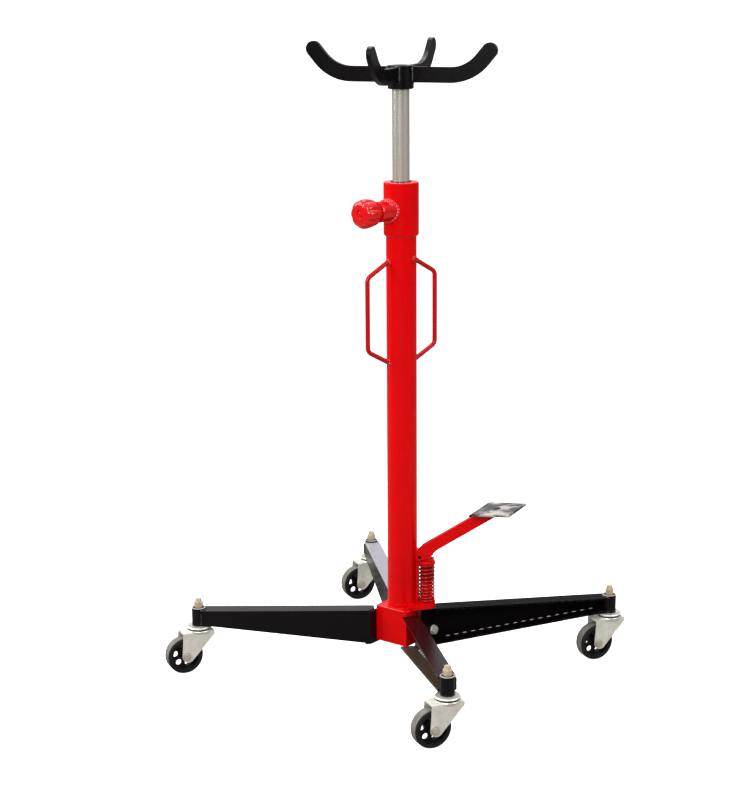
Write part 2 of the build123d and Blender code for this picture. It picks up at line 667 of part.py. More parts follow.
with BuildPart() as pump_block:
    # It lies on the hub's top, from corner to corner of one face and out under the pump.
    corner = HUB_HALF - BLOCK_CORNER_R
    with BuildSketch(level(BLOCK_BOTTOM, HUB_FACE)):
        with Locations((corner, -corner + BLOCK_INSET), (corner, corner), (0, corner)):
            Circle(BLOCK_CORNER_R)
        turned = PUMP_HEADING - HUB_FACE
        with Locations(out(turned, PUMP_OUT)):
            Circle(BLOCK_R)
        make_hull()
    extrude(amount=PUMP_DECK - BLOCK_BOTTOM)
    with BuildSketch(Plane.XY.offset(BLOCK_BOTTOM)):
        Circle(COLUMN_R)
        with Locations((pump_x, pump_y)):
            Circle(PUMP_SPIGOT_R)
    extrude(amount=PUMP_DECK - BLOCK_BOTTOM, mode=Mode.SUBTRACT)
save(pump_block, "pump_block")

BARREL_R, BARREL_TOP = 12, 196
PLUNGER_BOTTOM = 153
with BuildPart() as pump_cylinder:
    sections = ((BLOCK_BOTTOM, PUMP_DECK, PUMP_SPIGOT_R), (PUMP_DECK, SPRING_BOTTOM, SPRING_R + 0.5),
                (SPRING_BOTTOM, BARREL_TOP, BARREL_R))
    for bottom, top, radius in sections:
        with BuildSketch(level(bottom, 0, pump_x, pump_y)):
            Circle(radius)
        extrude(amount=top - bottom)
    with BuildSketch(level(SPRING_BOTTOM, 0, pump_x, pump_y)):
        Circle(PLUNGER_R + RUNNING)
    extrude(amount=BARREL_TOP - SPRING_BOTTOM, mode=Mode.SUBTRACT)
save(pump_cylinder, "pump_cylinder")

with BuildPart() as pump_plunger:
    with BuildSketch(level(PLUNGER_BOTTOM, 0, pump_x, pump_y)):
        Circle(PLUNGER_R)
    extrude(amount=SPRING_TOP - PLUNGER_BOTTOM)
save(pump_plunger, "pump_plunger")

CAP_R, CAP_TOP = 17, 224.5
CAP_PAD_IN, CAP_PAD_OUT = 48.5, 65
with BuildPart() as plunger_cap:
    with BuildSketch(level(SPRING_TOP, 0, pump_x, pump_y)):
        Circle(CAP_R)
    extrude(amount=CAP_TOP - SPRING_TOP)
    chamfer(plunger_cap.edges().group_by(Axis.Z)[-1], 1.5)
    # A raised pad under the lever's roller.
    with BuildSketch(level(CAP_TOP - 2, PUMP_HEADING)):
        with Locations(((CAP_PAD_IN + CAP_PAD_OUT) / 2, 0)):
            Rectangle(CAP_PAD_OUT - CAP_PAD_IN, 2 * TONGUE_HALF)
    extrude(amount=ROLLER_Z - ROLLER_R - FREE - CAP_TOP + 2)
save(plunger_cap, "plunger_cap")

with BuildPart() as return_spring:
    with BuildSketch(level(SPRING_BOTTOM, 0, pump_x, pump_y)):
        Circle(SPRING_R)
        Circle(SPRING_BORE_R, mode=Mode.SUBTRACT)
    extrude(amount=SPRING_TOP - SPRING_BOTTOM)
save(return_spring, "return_spring")

NOSE_R, TONGUE_RISE = 7, 17
RIB_END, RIB_HALF = 34.3, 5  # the rib between the column and the spring, down to the pump block
with BuildPart() as pedal_bracket:
    with BuildSketch(pump_side):
        with BuildLine():
            nose = CenterArc((PIVOT_OUT, PIVOT_Z), NOSE_R, 270, 180)
            root = COLUMN_R - 3
            Polyline(nose @ 1, (root, PIVOT_Z + TONGUE_RISE), (root, PIVOT_Z - NOSE_R), nose @ 0)
        make_face()
        with Locations((PIVOT_OUT, PIVOT_Z)):
            Circle(AXLE_R + RUNNING, mode=Mode.SUBTRACT)
    extrude(amount=TONGUE_HALF, both=True)
    with BuildSketch(level(PUMP_DECK, PUMP_HEADING)):
        with Locations((RIB_END / 2, 0)):
            Rectangle(RIB_END, 2 * RIB_HALF)
    extrude(amount=PIVOT_Z - NOSE_R - PUMP_DECK)
    with BuildSketch(Plane.XY.offset(PUMP_DECK)):
        Circle(COLUMN_R)
    extrude(amount=PIVOT_Z + TONGUE_RISE + 1 - PUMP_DECK, mode=Mode.SUBTRACT)
save(pedal_bracket, "pedal_bracket")

cheek_in = TONGUE_HALF + FREE
cheek_out = cheek_in + CHEEK
with BuildPart() as pedal_pivot_pin:
    with BuildSketch(pump_side.offset(-cheek_out - 1)):
        with Locations((PIVOT_OUT, PIVOT_Z)):
            Circle(AXLE_R)
    extrude(amount=2 * cheek_out + 2)
save(pedal_pivot_pin, "pedal_pivot_pin")

ROLLER_PIN_R = 3
with BuildPart() as lever_roller_pin:
    with BuildSketch(pump_side.offset(-cheek_out - 1.5)):
        with Locations((ROLLER_OUT, ROLLER_Z)):
            Circle(ROLLER_PIN_R)
    extrude(amount=2 * cheek_out + 3)
save(lever_roller_pin, "lever_roller_pin")

with BuildPart() as lever_roller:
    with BuildSketch(pump_side.offset(-TONGUE_HALF)):
        with Locations((ROLLER_OUT, ROLLER_Z)):
            Circle(ROLLER_R)
            Circle(ROLLER_PIN_R, mode=Mode.SUBTRACT)
    extrude(amount=2 * TONGUE_HALF)
save(lever_roller, "lever_roller")

slope = radians(LEVER_SLOPE)
tilt = radians(PAD_SLOPE)
pad_inner = (PAD_CENTRE[0] - PAD_LENGTH / 2 * cos(tilt) + PAD_CURL_R * 0.8,
             PAD_CENTRE[1] - PAD_LENGTH / 2 * sin(tilt))
pad_outer = (PAD_CENTRE[0] + PAD_LENGTH / 2 * cos(tilt), PAD_CENTRE[1] + PAD_LENGTH / 2 * sin(tilt))

with BuildPart() as foot_pad:
    with BuildSketch(pump_side):
        with BuildLine():
            flat = Line(pad_outer, pad_inner)
            JernArc(start=flat @ 1, tangent=flat % 1, radius=PAD_CURL_R, arc_size=PAD_CURL)
            offset(amount=PAD_THICKNESS / 2)
        make_face()
    extrude(amount=PAD_WIDTH / 2, both=True)
save(foot_pad, "foot_pad")

SLOT_END, SLOT_RISE, SLOT_HEIGHT = 67, 10, 60
CHEEK_NOSE_R, ROLLER_EYE_R, FORKED_LENGTH = 7.5, 6.5, 24
forked_end = (LEVER_START[0] + FORKED_LENGTH * cos(slope), LEVER_START[1] + FORKED_LENGTH * sin(slope))
with BuildPart() as pedal_lever:
    # The forked end: two cheeks round the pivot, the roller's pin and the bar's start.
    with BuildSketch(pump_side.offset(-cheek_out)):
        with Locations((PIVOT_OUT, PIVOT_Z)):
            Circle(CHEEK_NOSE_R)
        with Locations((ROLLER_OUT, ROLLER_Z)):
            Circle(ROLLER_EYE_R)
        with Locations(LEVER_START):
            Circle(LEVER_HALF_DEPTH)
        with Locations(forked_end):
            Circle(LEVER_HALF_DEPTH)
        make_hull()
    extrude(amount=2 * cheek_out)
    with BuildSketch(pump_side.offset(-cheek_out)):
        with Locations(Location((LEVER_START[0], LEVER_START[1], 0), LEVER_SLOPE)):
            with Locations((LEVER_LENGTH / 2, 0)):
                Rectangle(LEVER_LENGTH, 2 * LEVER_HALF_DEPTH)
    extrude(amount=2 * cheek_out)
    # The slot that clears the bracket, the roller and the cap's pad.
    with BuildSketch(pump_side.offset(-cheek_in)):
        with Locations((SLOT_END / 2, PIVOT_Z + SLOT_RISE)):
            Rectangle(SLOT_END, SLOT_HEIGHT)
    extrude(amount=2 * cheek_in, mode=Mode.SUBTRACT)
    # The bar is mitred under the foot pad.
    under = PAD_THICKNESS / 2
    with BuildSketch(pump_side.offset(-40)):
        Polygon(
            (pad_inner[0] - 30, pad_inner[1] - 30 * sin(tilt) - under),
            (pad_outer[0] + 60, pad_outer[1] + 60 * sin(tilt) - under),
            (pad_outer[0] + 60, pad_outer[1] + 120),
            (pad_inner[0] - 30, pad_inner[1] + 120),
            align=None,
        )
    extrude(amount=80, mode=Mode.SUBTRACT)
    with BuildSketch(pump_side.offset(-40)):
        with Locations((PIVOT_OUT, PIVOT_Z)):
            Circle(AXLE_R)
        with Locations((ROLLER_OUT, ROLLER_Z)):
            Circle(ROLLER_PIN_R)
    extrude(amount=80, mode=Mode.SUBTRACT)
    add(foot_pad.part, mode=Mode.SUBTRACT)
save(pedal_lever, "pedal_lever")
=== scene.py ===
"""Looks for the transmission jack: materials, weld beads, coil spring, threads, tread, camera and light.

Metres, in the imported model's frame: the column's axis is Z and the floor is z = 0.
"""

import json
import math
import random

import bmesh
import bpy
from mathutils import Matrix, Vector


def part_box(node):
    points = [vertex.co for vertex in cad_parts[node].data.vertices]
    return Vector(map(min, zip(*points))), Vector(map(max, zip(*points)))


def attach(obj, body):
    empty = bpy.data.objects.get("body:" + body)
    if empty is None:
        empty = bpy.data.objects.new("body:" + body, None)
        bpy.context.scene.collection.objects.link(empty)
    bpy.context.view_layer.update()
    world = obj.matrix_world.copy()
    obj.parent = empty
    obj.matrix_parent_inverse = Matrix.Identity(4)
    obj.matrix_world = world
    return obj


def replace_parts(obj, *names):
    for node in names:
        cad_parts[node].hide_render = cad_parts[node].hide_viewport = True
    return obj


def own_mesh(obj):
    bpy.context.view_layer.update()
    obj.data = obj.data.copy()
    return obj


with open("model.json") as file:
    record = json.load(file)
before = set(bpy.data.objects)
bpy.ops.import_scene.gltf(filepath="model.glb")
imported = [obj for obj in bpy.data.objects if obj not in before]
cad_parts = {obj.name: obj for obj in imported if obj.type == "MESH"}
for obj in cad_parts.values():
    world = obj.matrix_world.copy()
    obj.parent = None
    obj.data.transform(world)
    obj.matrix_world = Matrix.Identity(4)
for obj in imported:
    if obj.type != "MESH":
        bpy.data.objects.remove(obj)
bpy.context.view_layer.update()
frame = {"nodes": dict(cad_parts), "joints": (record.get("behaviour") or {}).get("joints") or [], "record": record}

MM = 0.001
UP = Vector((0, 0, 1))
NODES = frame["nodes"]
JOINTS = {joint["name"]: joint for joint in frame["joints"]}
NAMES = ("right", "left", "front", "rear")
rng = random.Random(11)


# ---- places taken from the frame ------------------------------------------------------------------
def middle(node):
    """The centre of a CAD node's box."""
    low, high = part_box(node)
    return (low + high) / 2


def half_width(node):
    """Half of a CAD node's extent along X: the radius of an upright round piece."""
    low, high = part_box(node)
    return (high.x - low.x) / 2


def joint_place(name):
    return Vector(JOINTS[name]["pos_m"]), Vector(JOINTS[name]["axis"]).normalized()


COLUMN_R = half_width("column_tube")
COLLAR_R = half_width("column_collar")
HUB_LOW, HUB_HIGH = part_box("base_hub")
COLLAR_LOW, COLLAR_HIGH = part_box("column_collar")
BLOCK_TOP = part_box("pump_block")[1].z
SADDLE_R = half_width("saddle_hub")
STEMS = {name: Vector(JOINTS[f"caster_swivel_{name}"]["pos_m"]) for name in NAMES}
CROSS = (STEMS["right"] + STEMS["left"]) / 2
CROSS.z = 0
HUB_FACE = math.radians(-42.4)  # heading of the hub's face between the front and right legs
HUB_HALF = 38 * MM


def heading_vector(heading):
    return Vector((math.cos(heading), math.sin(heading), 0))


# ---- materials ------------------------------------------------------------------------------------
def new_material(name):
    """A node material with its Principled shader and a helper that adds nodes."""
    mat = bpy.data.materials.new(name)
    mat.use_nodes = True
    tree = mat.node_tree
    shader = tree.nodes["Principled BSDF"]

    def add(kind, **values):
        node = tree.nodes.new(kind)
        for key, value in values.items():
            if key in node.inputs:
                node.inputs[key].default_value = value
            else:
                setattr(node, key, value)
        return node

    return mat, shader, add, tree.links.new


def noise(add, link, coords, scale, detail=3.0, rough=0.55):
    node = add("ShaderNodeTexNoise", Scale=scale, Detail=detail, Roughness=rough)
    link(coords, node.inputs["Vector"])
    return node.outputs["Fac"]


def ramp(add, link, value, stops):
    """A colour ramp through (place, colour) stops."""
    node = add("ShaderNodeValToRGB")
    elements = node.color_ramp.elements
    while len(elements) < len(stops):
        elements.new(0.5)
    for element, (place, colour) in zip(elements, stops):
        element.position = place
        element.color = (*colour, 1)
    link(value, node.inputs["Fac"])
    return node.outputs["Color"]


def spread(add, link, value, low, high):
    """Maps 0..1 to low..high."""
    node = add("ShaderNodeMapRange")
    node.inputs["To Min"].default_value = low
    node.inputs["To Max"].default_value = high
    link(value, node.inputs["Value"])
    return node.outputs["Result"]


def bump(add, link, shader, height, strength, distance, onto=None):
    node = add("ShaderNodeBump", Strength=strength, Distance=distance)
    link(height, node.inputs["Height"])
    if onto is not None:
        link(onto, node.inputs["Normal"])
    link(node.outputs["Normal"], shader.inputs["Normal"])
    return node.outputs["Normal"]


def tinted(colour, gain):
    return tuple(min(1.0, channel * gain) for channel in colour)


def edge_mask(add, link, radius, sharpness):
    """1 on sharp outer edges, 0 on faces: how far a rounded normal leans from the true one."""
    bevel = add("ShaderNodeBevel", samples=4, Radius=radius)
    geometry = add("ShaderNodeNewGeometry")
    dot = add("ShaderNodeVectorMath", operation="DOT_PRODUCT")
    link(bevel.outputs["Normal"], dot.inputs[0])
    link(geometry.outputs["Normal"], dot.inputs[1])
    lean = add("ShaderNodeMapRange")
    lean.inputs["From Min"].default_value = 1.0
    lean.inputs["From Max"].default_value = 1.0 - sharpness
    link(dot.outputs["Value"], lean.inputs["Value"])
    return lean.outputs["Result"]


def facing_mask(add, link, faces):
    """1 on faces that look along one of the directions, in the object's own space."""
    normal = add("ShaderNodeTexCoord").outputs["Normal"]
    total = None
    for direction in faces:
        dot = add("ShaderNodeVectorMath", operation="DOT_PRODUCT")
        dot.inputs[1].default_value = direction
        link(normal, dot.inputs[0])
        sharp = add("ShaderNodeMapRange")
        sharp.inputs["From Min"].default_value = 0.80
        sharp.inputs["From Max"].default_value = 0.95
        link(dot.outputs["Value"], sharp.inputs["Value"])
        if total is None:
            total = sharp.outputs["Result"]
        else:
            larger = add("ShaderNodeMath", operation="MAXIMUM")
            link(total, larger.inputs[0])
            link(sharp.outputs["Result"], larger.inputs[1])
            total = larger.outputs[0]
    return total


def below_mask(add, link, coords, height):
    """1 below a height, 0 above it."""
    parts = add("ShaderNodeSeparateXYZ")
    link(coords, parts.inputs[0])
    lower = add("ShaderNodeMath", operation="LESS_THAN")
    lower.inputs[1].default_value = height
    link(parts.outputs["Z"], lower.inputs[0])
    return lower.outputs[0]


ANY_HEIGHT = 9.0  # metres: above everything


def enamel(name, colour, rough, specular, peel, wear_and_glint, wear_and_glint_colour, dust=0.0, painted_sheen=None, faces=(),
           below=ANY_HEIGHT):
    """Sprayed gloss paint: slow colour drift, orange peel, thin rubbed edges, and a painted sheen on some faces.

    On the weld, spring, head ring, right leg and black weld paints the pale rubbed edges are painted glints;
    elsewhere they are wear. The painted sheen is a lighter colour that stands in for reflected light: it lies
    on faces that look along one of the directions in faces and are lower than below.
    """
    mat, shader, add, link = new_material(name)
    coords = add("ShaderNodeTexCoord").outputs["Object"]
    drift = ramp(add, link, noise(add, link, coords, 7.0), [
        (0.3, tinted(colour, 0.93)), (0.7, tinted(colour, 1.05)),
    ])
    shader.inputs["Specular IOR Level"].default_value = specular
    patch = noise(add, link, coords, 46.0, 5.0, 0.62)
    link(spread(add, link, patch, rough * 0.75, rough * 1.3), shader.inputs["Roughness"])
    # rubbed edges: wear on most paints; where the edge colour is pale, a painted glint
    mask = edge_mask(add, link, 0.9 * MM, 0.22)
    edge_spots = add("ShaderNodeMath", operation="MULTIPLY")
    grit = ramp(add, link, noise(add, link, coords, 240.0, 4.0, 0.7), [
        (0.5, (0, 0, 0)), (0.62, (wear_and_glint, wear_and_glint, wear_and_glint)),
    ])
    link(mask, edge_spots.inputs[0])
    link(grit, edge_spots.inputs[1])
    edge_tint = add("ShaderNodeMix", data_type="RGBA")
    link(edge_spots.outputs[0], edge_tint.inputs["Factor"])
    link(drift, edge_tint.inputs["A"])
    edge_tint.inputs["B"].default_value = (*wear_and_glint_colour, 1)
    colour_out = edge_tint.outputs["Result"]
    if dust:
        veil = add("ShaderNodeMix", data_type="RGBA")
        haze = ramp(add, link, noise(add, link, coords, 15.0, 6.0, 0.6), [
            (0.45, (0, 0, 0)), (0.75, (dust, dust, dust)),
        ])
        link(haze, veil.inputs["Factor"])
        link(colour_out, veil.inputs["A"])
        veil.inputs["B"].default_value = (0.16, 0.145, 0.13, 1)
        colour_out = veil.outputs["Result"]
    # painted sheen: a lighter colour on the chosen faces, standing in for reflected light
    if painted_sheen:
        sheen_mix = add("ShaderNodeMix", data_type="RGBA")
        shown = add("ShaderNodeMath", operation="MULTIPLY")
        link(facing_mask(add, link, faces), shown.inputs[0])
        link(below_mask(add, link, coords, below), shown.inputs[1])
        patchy = add("ShaderNodeMath", operation="MULTIPLY")
        link(shown.outputs[0], patchy.inputs[0])
        link(spread(add, link, noise(add, link, coords, 28.0, 5.0, 0.6), 0.72, 1.05), patchy.inputs[1])
        link(patchy.outputs[0], sheen_mix.inputs["Factor"])
        link(colour_out, sheen_mix.inputs["A"])
        sheen_mix.inputs["B"].default_value = (*painted_sheen, 1)
        colour_out = sheen_mix.outputs["Result"]
    link(colour_out, shader.inputs["Base Color"])
    skin = bump(add, link, shader, noise(add, link, coords, 620.0, 2.0, 0.5), peel, 0.12 * MM)
    bump(add, link, shader, noise(add, link, coords, 90.0, 2.0, 0.5), peel * 0.8, 0.5 * MM, skin)
    return mat


def plated(name, colour, rough, blotch, grain, metal, stretch=(1, 1, 1)):
    """Bare or plated steel with fine grain and soft blotches."""
    mat, shader, add, link = new_material(name)
    coords = add("ShaderNodeTexCoord").outputs["Object"]
    shader.inputs["Metallic"].default_value = metal
    cloud = noise(add, link, coords, 60.0, 5.0, 0.65)
    link(ramp(add, link, cloud, [
        (0.3, tinted(colour, 1 - blotch)), (0.72, tinted(colour, 1 + blotch)),
    ]), shader.inputs["Base Color"])
    link(spread(add, link, cloud, rough * 1.25, rough * 0.8), shader.inputs["Roughness"])
    scaled = add("ShaderNodeMapping")
    scaled.inputs["Scale"].default_value = stretch
    link(coords, scaled.inputs["Vector"])
    fine = noise(add, link, scaled.outputs["Vector"], 900.0, 3.0, 0.6)
    bump(add, link, shader, fine, grain, 0.05 * MM)
    return mat


def moulded(name, colour, rough, grain, scale):
    """Moulded plastic or rubber with a matte grain and dull wear."""
    mat, shader, add, link = new_material(name)
    coords = add("ShaderNodeTexCoord").outputs["Object"]
    shader.inputs["Specular IOR Level"].default_value = 0.2
    cloud = noise(add, link, coords, 85.0, 4.0, 0.6)
    link(ramp(add, link, cloud, [
        (0.35, tinted(colour, 0.85)), (0.7, tinted(colour, 1.25)),
    ]), shader.inputs["Base Color"])
    link(spread(add, link, cloud, rough * 0.85, min(1.0, rough * 1.15)), shader.inputs["Roughness"])
    bump(add, link, shader, noise(add, link, coords, scale, 3.0, 0.6), grain, 0.1 * MM)
    return mat


def reflection_patches(name, dark, reflection_tone, rough, specular, scale):
    """Gloss paint with large soft pale patches: a painted reflection."""
    mat, shader, add, link = new_material(name)
    coords = add("ShaderNodeTexCoord").outputs["Object"]
    shader.inputs["Specular IOR Level"].default_value = specular
    cloud = noise(add, link, coords, scale, 4.0, 0.6)
    link(ramp(add, link, cloud, [
        (0.42, dark), (0.51, tinted(reflection_tone, 0.3)), (0.60, reflection_tone),
    ]), shader.inputs["Base Color"])
    link(spread(add, link, cloud, rough, rough * 2.5), shader.inputs["Roughness"])
    bump(add, link, shader, noise(add, link, coords, 60.0, 3.0, 0.5), 0.4, 1.0 * MM)
    return mat


TOP_FLANGE = 118 * MM  # the painted sheen inside the front leg stops under its top flange
RED = (0.74, 0.0, 0.0012)
BLACK = (0.0022, 0.0014, 0.0018)
red_paint = enamel("red_enamel", RED, 0.22, 0.16, 0.10, 0.35, (0.34, 0.012, 0.014))
black_paint = enamel("black_enamel", BLACK, 0.24, 0.22, 0.14, 0.4, (0.06, 0.055, 0.05), dust=0.01)
# front leg: olive painted on inside faces that look up or to the left, a painted reflection of the floor
lit_channel_paint = enamel("lit_channel_enamel", BLACK, 0.24, 0.22, 0.14, 0.4, (0.06, 0.055, 0.05),
                     painted_sheen=(0.074, 0.064, 0.042), faces=((0.0, 0.0, 1.0), (-1.0, 0.0, 0.0)),
                     below=TOP_FLANGE)
# rear leg: pale grey painted on faces that look up, a painted highlight on its top flange
top_highlight_paint = enamel("top_highlight_enamel", BLACK, 0.24, 0.22, 0.14, 0.4, (0.06, 0.055, 0.05),
                    painted_sheen=(0.36, 0.345, 0.38), faces=((0.0, 0.0, 1.0),))
# right leg: its strong pale rubbed edges are a painted highlight, the thin light line along its edges
matt_paint = enamel("matt_enamel", BLACK, 0.5, 0.05, 0.14, 0.8, (0.3, 0.28, 0.26))
gloss_red = enamel("gloss_enamel", (0.70, 0.0, 0.0012), 0.16, 0.62, 0.10, 0.35, (0.34, 0.012, 0.014))
# handles: a darker copy of the red paint, painted shade
handle_shade_paint = enamel("handle_shade_enamel", (0.52, 0.002, 0.004), 0.26, 0.3, 0.2, 0.35, (0.34, 0.012, 0.014))
# spring: a darker copy of the red paint, painted shade; its pale pink rubbed edges are painted glints
spring_paint = enamel("spring_enamel", (0.40, 0.0, 0.001), 0.16, 0.55, 0.1, 0.5, (0.7, 0.3, 0.3))
# foot pad: black with pale patches, a painted reflection on its glossy face
pad_paint = reflection_patches("pad_enamel", BLACK, (0.46, 0.44, 0.42), 0.14, 0.45, 30.0)
# welds: red with pale pink rubbed ridges, painted glints
glint_paint = enamel("weld_glint_enamel", (0.74, 0.02, 0.03), 0.12, 0.7, 0.3, 0.6, (0.8, 0.35, 0.34))
# dark red for the sleeve inside the spring: painted shade between the coils
spring_shade_paint = enamel("spring_shade_enamel", (0.26, 0.0, 0.0006), 0.4, 0.1, 0.2, 0.3, (0.3, 0.01, 0.01))
# head ring: pinker red with pale pink edges, a painted sheen on the collar's top
head_sheen_paint = enamel("head_sheen_enamel", (0.74, 0.05, 0.06), 0.3, 0.7, 0.1, 0.3, (0.6, 0.2, 0.2))
# black welds: grey rubbed ridges, painted glints
black_weld = enamel("black_weld", (0.01, 0.009, 0.009), 0.16, 0.8, 0.5, 0.8, (0.3, 0.29, 0.28))
# stitch welds and socket rims: pale grey, rubbed paint that also paints their glints
weld_wear_and_glint_paint = enamel("rubbed_and_glinting_weld", (0.5, 0.48, 0.46), 0.4, 0.4, 0.5, 0.5, (0.4, 0.38, 0.36))
rod_chrome = plated("ground_chrome", (0.66, 0.625, 0.57), 0.24, 0.05, 0.25, 0.62, (1, 1, 14))
zinc = plated("dull_zinc", (0.60, 0.56, 0.46), 0.42, 0.16, 0.5, 0.55)
bright_zinc = plated("bright_zinc", (0.86, 0.85, 0.80), 0.3, 0.08, 0.3, 0.45)
fork_zinc = plated("fork_zinc", (0.80, 0.78, 0.69), 0.4, 0.16, 0.5, 0.3)
yellow_zinc = plated("yellow_zinc", (0.72, 0.60, 0.43), 0.34, 0.14, 0.35, 0.55)
bare_steel = plated("machined_steel", (0.5, 0.49, 0.48), 0.3, 0.1, 0.3, 0.8)
core_plastic = moulded("core_nylon", (0.006, 0.005, 0.005), 0.5, 0.25, 500.0)
tyre_rubber = moulded("tyre_rubber", (0.012, 0.011, 0.0105), 0.6, 0.5, 800.0)
# lighter grey for the tread: painted light
tread_lit_rubber = moulded("tread_lit_rubber", (0.20, 0.19, 0.17), 0.75, 0.6, 800.0)
seal_rubber = moulded("seal_rubber", (0.012, 0.012, 0.012), 0.6, 0.3, 700.0)

SLOT_MATERIALS = {
    "red_paint": red_paint,
    "black_paint": black_paint,
    "hard_chrome": rod_chrome,
    "zinc_plate": zinc,
    "yellow_zinc": yellow_zinc,
    "bare_steel": bare_steel,
    "seal_rubber": seal_rubber,
    "wheel_core": core_plastic,
    "wheel_tyre": tyre_rubber,
}
OWN_MATERIALS = {
    "leg_front": lit_channel_paint,
    "leg_rear": top_highlight_paint,
    "leg_right": matt_paint,
    "valve_housing": gloss_red,
    "carry_handle_front": handle_shade_paint,
    "carry_handle_rear": handle_shade_paint,
}
OWN_MATERIALS.update({f"caster_fork_{name}": fork_zinc for name in NAMES})


def dress_cad_nodes():
    """Give every CAD node its slot's material and soften its sharp edges."""
    slots = {part["node"]: part["material_slot"] for part in frame["record"]["subparts"]}
    for name, node in NODES.items():
        node.data.materials.clear()
        node.data.materials.append(OWN_MATERIALS.get(name, SLOT_MATERIALS[slots[name]]))
        merge = node.modifiers.new("merge", "WELD")
        merge.merge_threshold = 0.01 * MM
        soften = node.modifiers.new("soften", "BEVEL")
        soften.width = 0.45 * MM
        soften.segments = 2
        soften.limit_method = "ANGLE"
        soften.angle_limit = math.radians(38)
        shade = node.modifiers.new("shade", "WEIGHTED_NORMAL")
        shade.weight = 60


# ---- mesh building --------------------------------------------------------------------------------
def piece(name, verts, faces, body, material, sharp=40):
    """A mesh object that rides on a CAD body."""
    mesh = bpy.data.meshes.new(name)
    mesh.from_pydata([tuple(vert) for vert in verts], [], faces)
    tidy = bmesh.new()
    tidy.from_mesh(mesh)
    bmesh.ops.remove_doubles(tidy, verts=tidy.verts, dist=0.02 * MM)
    bmesh.ops.recalc_face_normals(tidy, faces=tidy.faces)
    tidy.to_mesh(mesh)
    tidy.free()
    mesh.polygons.foreach_set("use_smooth", [True] * len(mesh.polygons))
    mesh.set_sharp_from_angle(angle=math.radians(sharp))
    mesh.materials.append(material)
    obj = bpy.data.objects.new(name, mesh)
    bpy.context.scene.collection.objects.link(obj)
    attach(obj, body)
    return obj


class Shape:
    """Vertices and faces collected from several solids."""

    def __init__(self):
        self.verts = []
        self.faces = []

    def rings(self, rings, closed_path=False, caps=True):
        """Skin a list of equal rings of points into a tube."""
        start = len(self.verts)
        count = len(rings[0])
        for ring in rings:
            self.verts.extend(ring)
        spans = len(rings) if closed_path else len(rings) - 1
        for i in range(spans):
            a = start + i * count
            b = start + ((i + 1) % len(rings)) * count
            for j in range(count):
                k = (j + 1) % count
                self.faces.append((a + j, a + k, b + k, b + j))
        if caps and not closed_path:
            self.faces.append(tuple(start + j for j in reversed(range(count))))
            last = start + (len(rings) - 1) * count
            self.faces.append(tuple(last + j for j in range(count)))
        return self

    def make(self, name, body, material, slot, sharp=40):
        return piece(name, self.verts, self.faces, body, material, sharp)


def across(axis):
    """Two unit vectors square to the axis and to each other."""
    helper = UP if abs(axis.z) < 0.9 else Vector((1, 0, 0))
    first = axis.cross(helper).normalized()
    return first, axis.cross(first).normalized()


def lathe(shape, origin, axis, profile, segments=40):
    """Turn (radius, distance along the axis) points about an axis.

    A profile that stays off the axis is a closed loop, such as a washer's; others end on the axis.
    """
    first, second = across(axis)
    rings = []
    for radius, along in profile:
        ring = []
        for j in range(segments):
            turn = 2 * math.pi * j / segments
            spoke = math.cos(turn) * first + math.sin(turn) * second
            ring.append(origin + along * axis + max(radius, 0.005 * MM) * spoke)
        rings.append(ring)
    return shape.rings(rings, closed_path=min(profile[0][0], profile[-1][0]) > 0)


def hex_radius(turn, apothem):
    return apothem / math.cos((turn + math.pi / 6) % (math.pi / 3) - math.pi / 6)


def hexagon(shape, origin, axis, apothem, height, spin=0.0, hole=0.0):
    """A nut or bolt head with the turned chamfer that leaves curved corners on its flats."""
    first, second = across(axis)
    segments = 48
    chamfer = apothem * 1.01
    rows = []
    for radius_of, height_of in (
        (lambda r: min(r, chamfer), lambda r: 0.0),
        (lambda r: r, lambda r: max(0.0, r - chamfer) * 0.55),
        (lambda r: r, lambda r: height - max(0.0, r - chamfer) * 0.55),
        (lambda r: min(r, chamfer), lambda r: height),
        (lambda r: max(hole, 0.4 * apothem), lambda r: height + (0.0 if hole else 0.25 * MM)),
    ):
        ring = []
        for j in range(segments):
            turn = 2 * math.pi * j / segments
            flat = hex_radius(turn, apothem)
            spoke = math.cos(turn + spin) * first + math.sin(turn + spin) * second
            ring.append(origin + height_of(flat) * axis + radius_of(flat) * spoke)
        rows.append(ring)
    return shape.rings(rows)


def walk(points, step, closed=False):
    """Points every step along a polyline, with the distance walked."""
    corners = list(points) + ([points[0]] if closed else [])
    lengths = [(b - a).length for a, b in zip(corners, corners[1:])]
    total = sum(lengths)
    count = max(4, round(total / step))
    out, index, passed = [], 0, 0.0
    for i in range(count if closed else count + 1):
        target = total * i / count
        while index < len(lengths) - 1 and passed + lengths[index] < target:
            passed += lengths[index]
            index += 1
        share = (target - passed) / lengths[index] if lengths[index] else 0
        out.append((corners[index].lerp(corners[index + 1], min(1.0, share)), target))
    return out


def sweep(shape, samples, radius_of, sides=10, closed=False):
    """A tube round (point, distance) samples; the radius may change along it."""
    points = [point for point, _ in samples]
    count = len(points)
    rings = []
    normal = None
    for i, (point, distance) in enumerate(samples):
        if closed:
            tangent = (points[(i + 1) % count] - points[i - 1]).normalized()
        else:
            tangent = (points[min(i + 1, count - 1)] - points[max(i - 1, 0)]).normalized()
        if normal is None:
            normal = across(tangent)[0]
        normal = (normal - normal.dot(tangent) * tangent).normalized()
        side = tangent.cross(normal)
        radius = radius_of(distance)
        ring = []
        for j in range(sides):
            turn = 2 * math.pi * j / sides
            ring.append(point + radius * (math.cos(turn) * normal + math.sin(turn) * side))
        rings.append(ring)
    return shape.rings(rings, closed_path=closed)


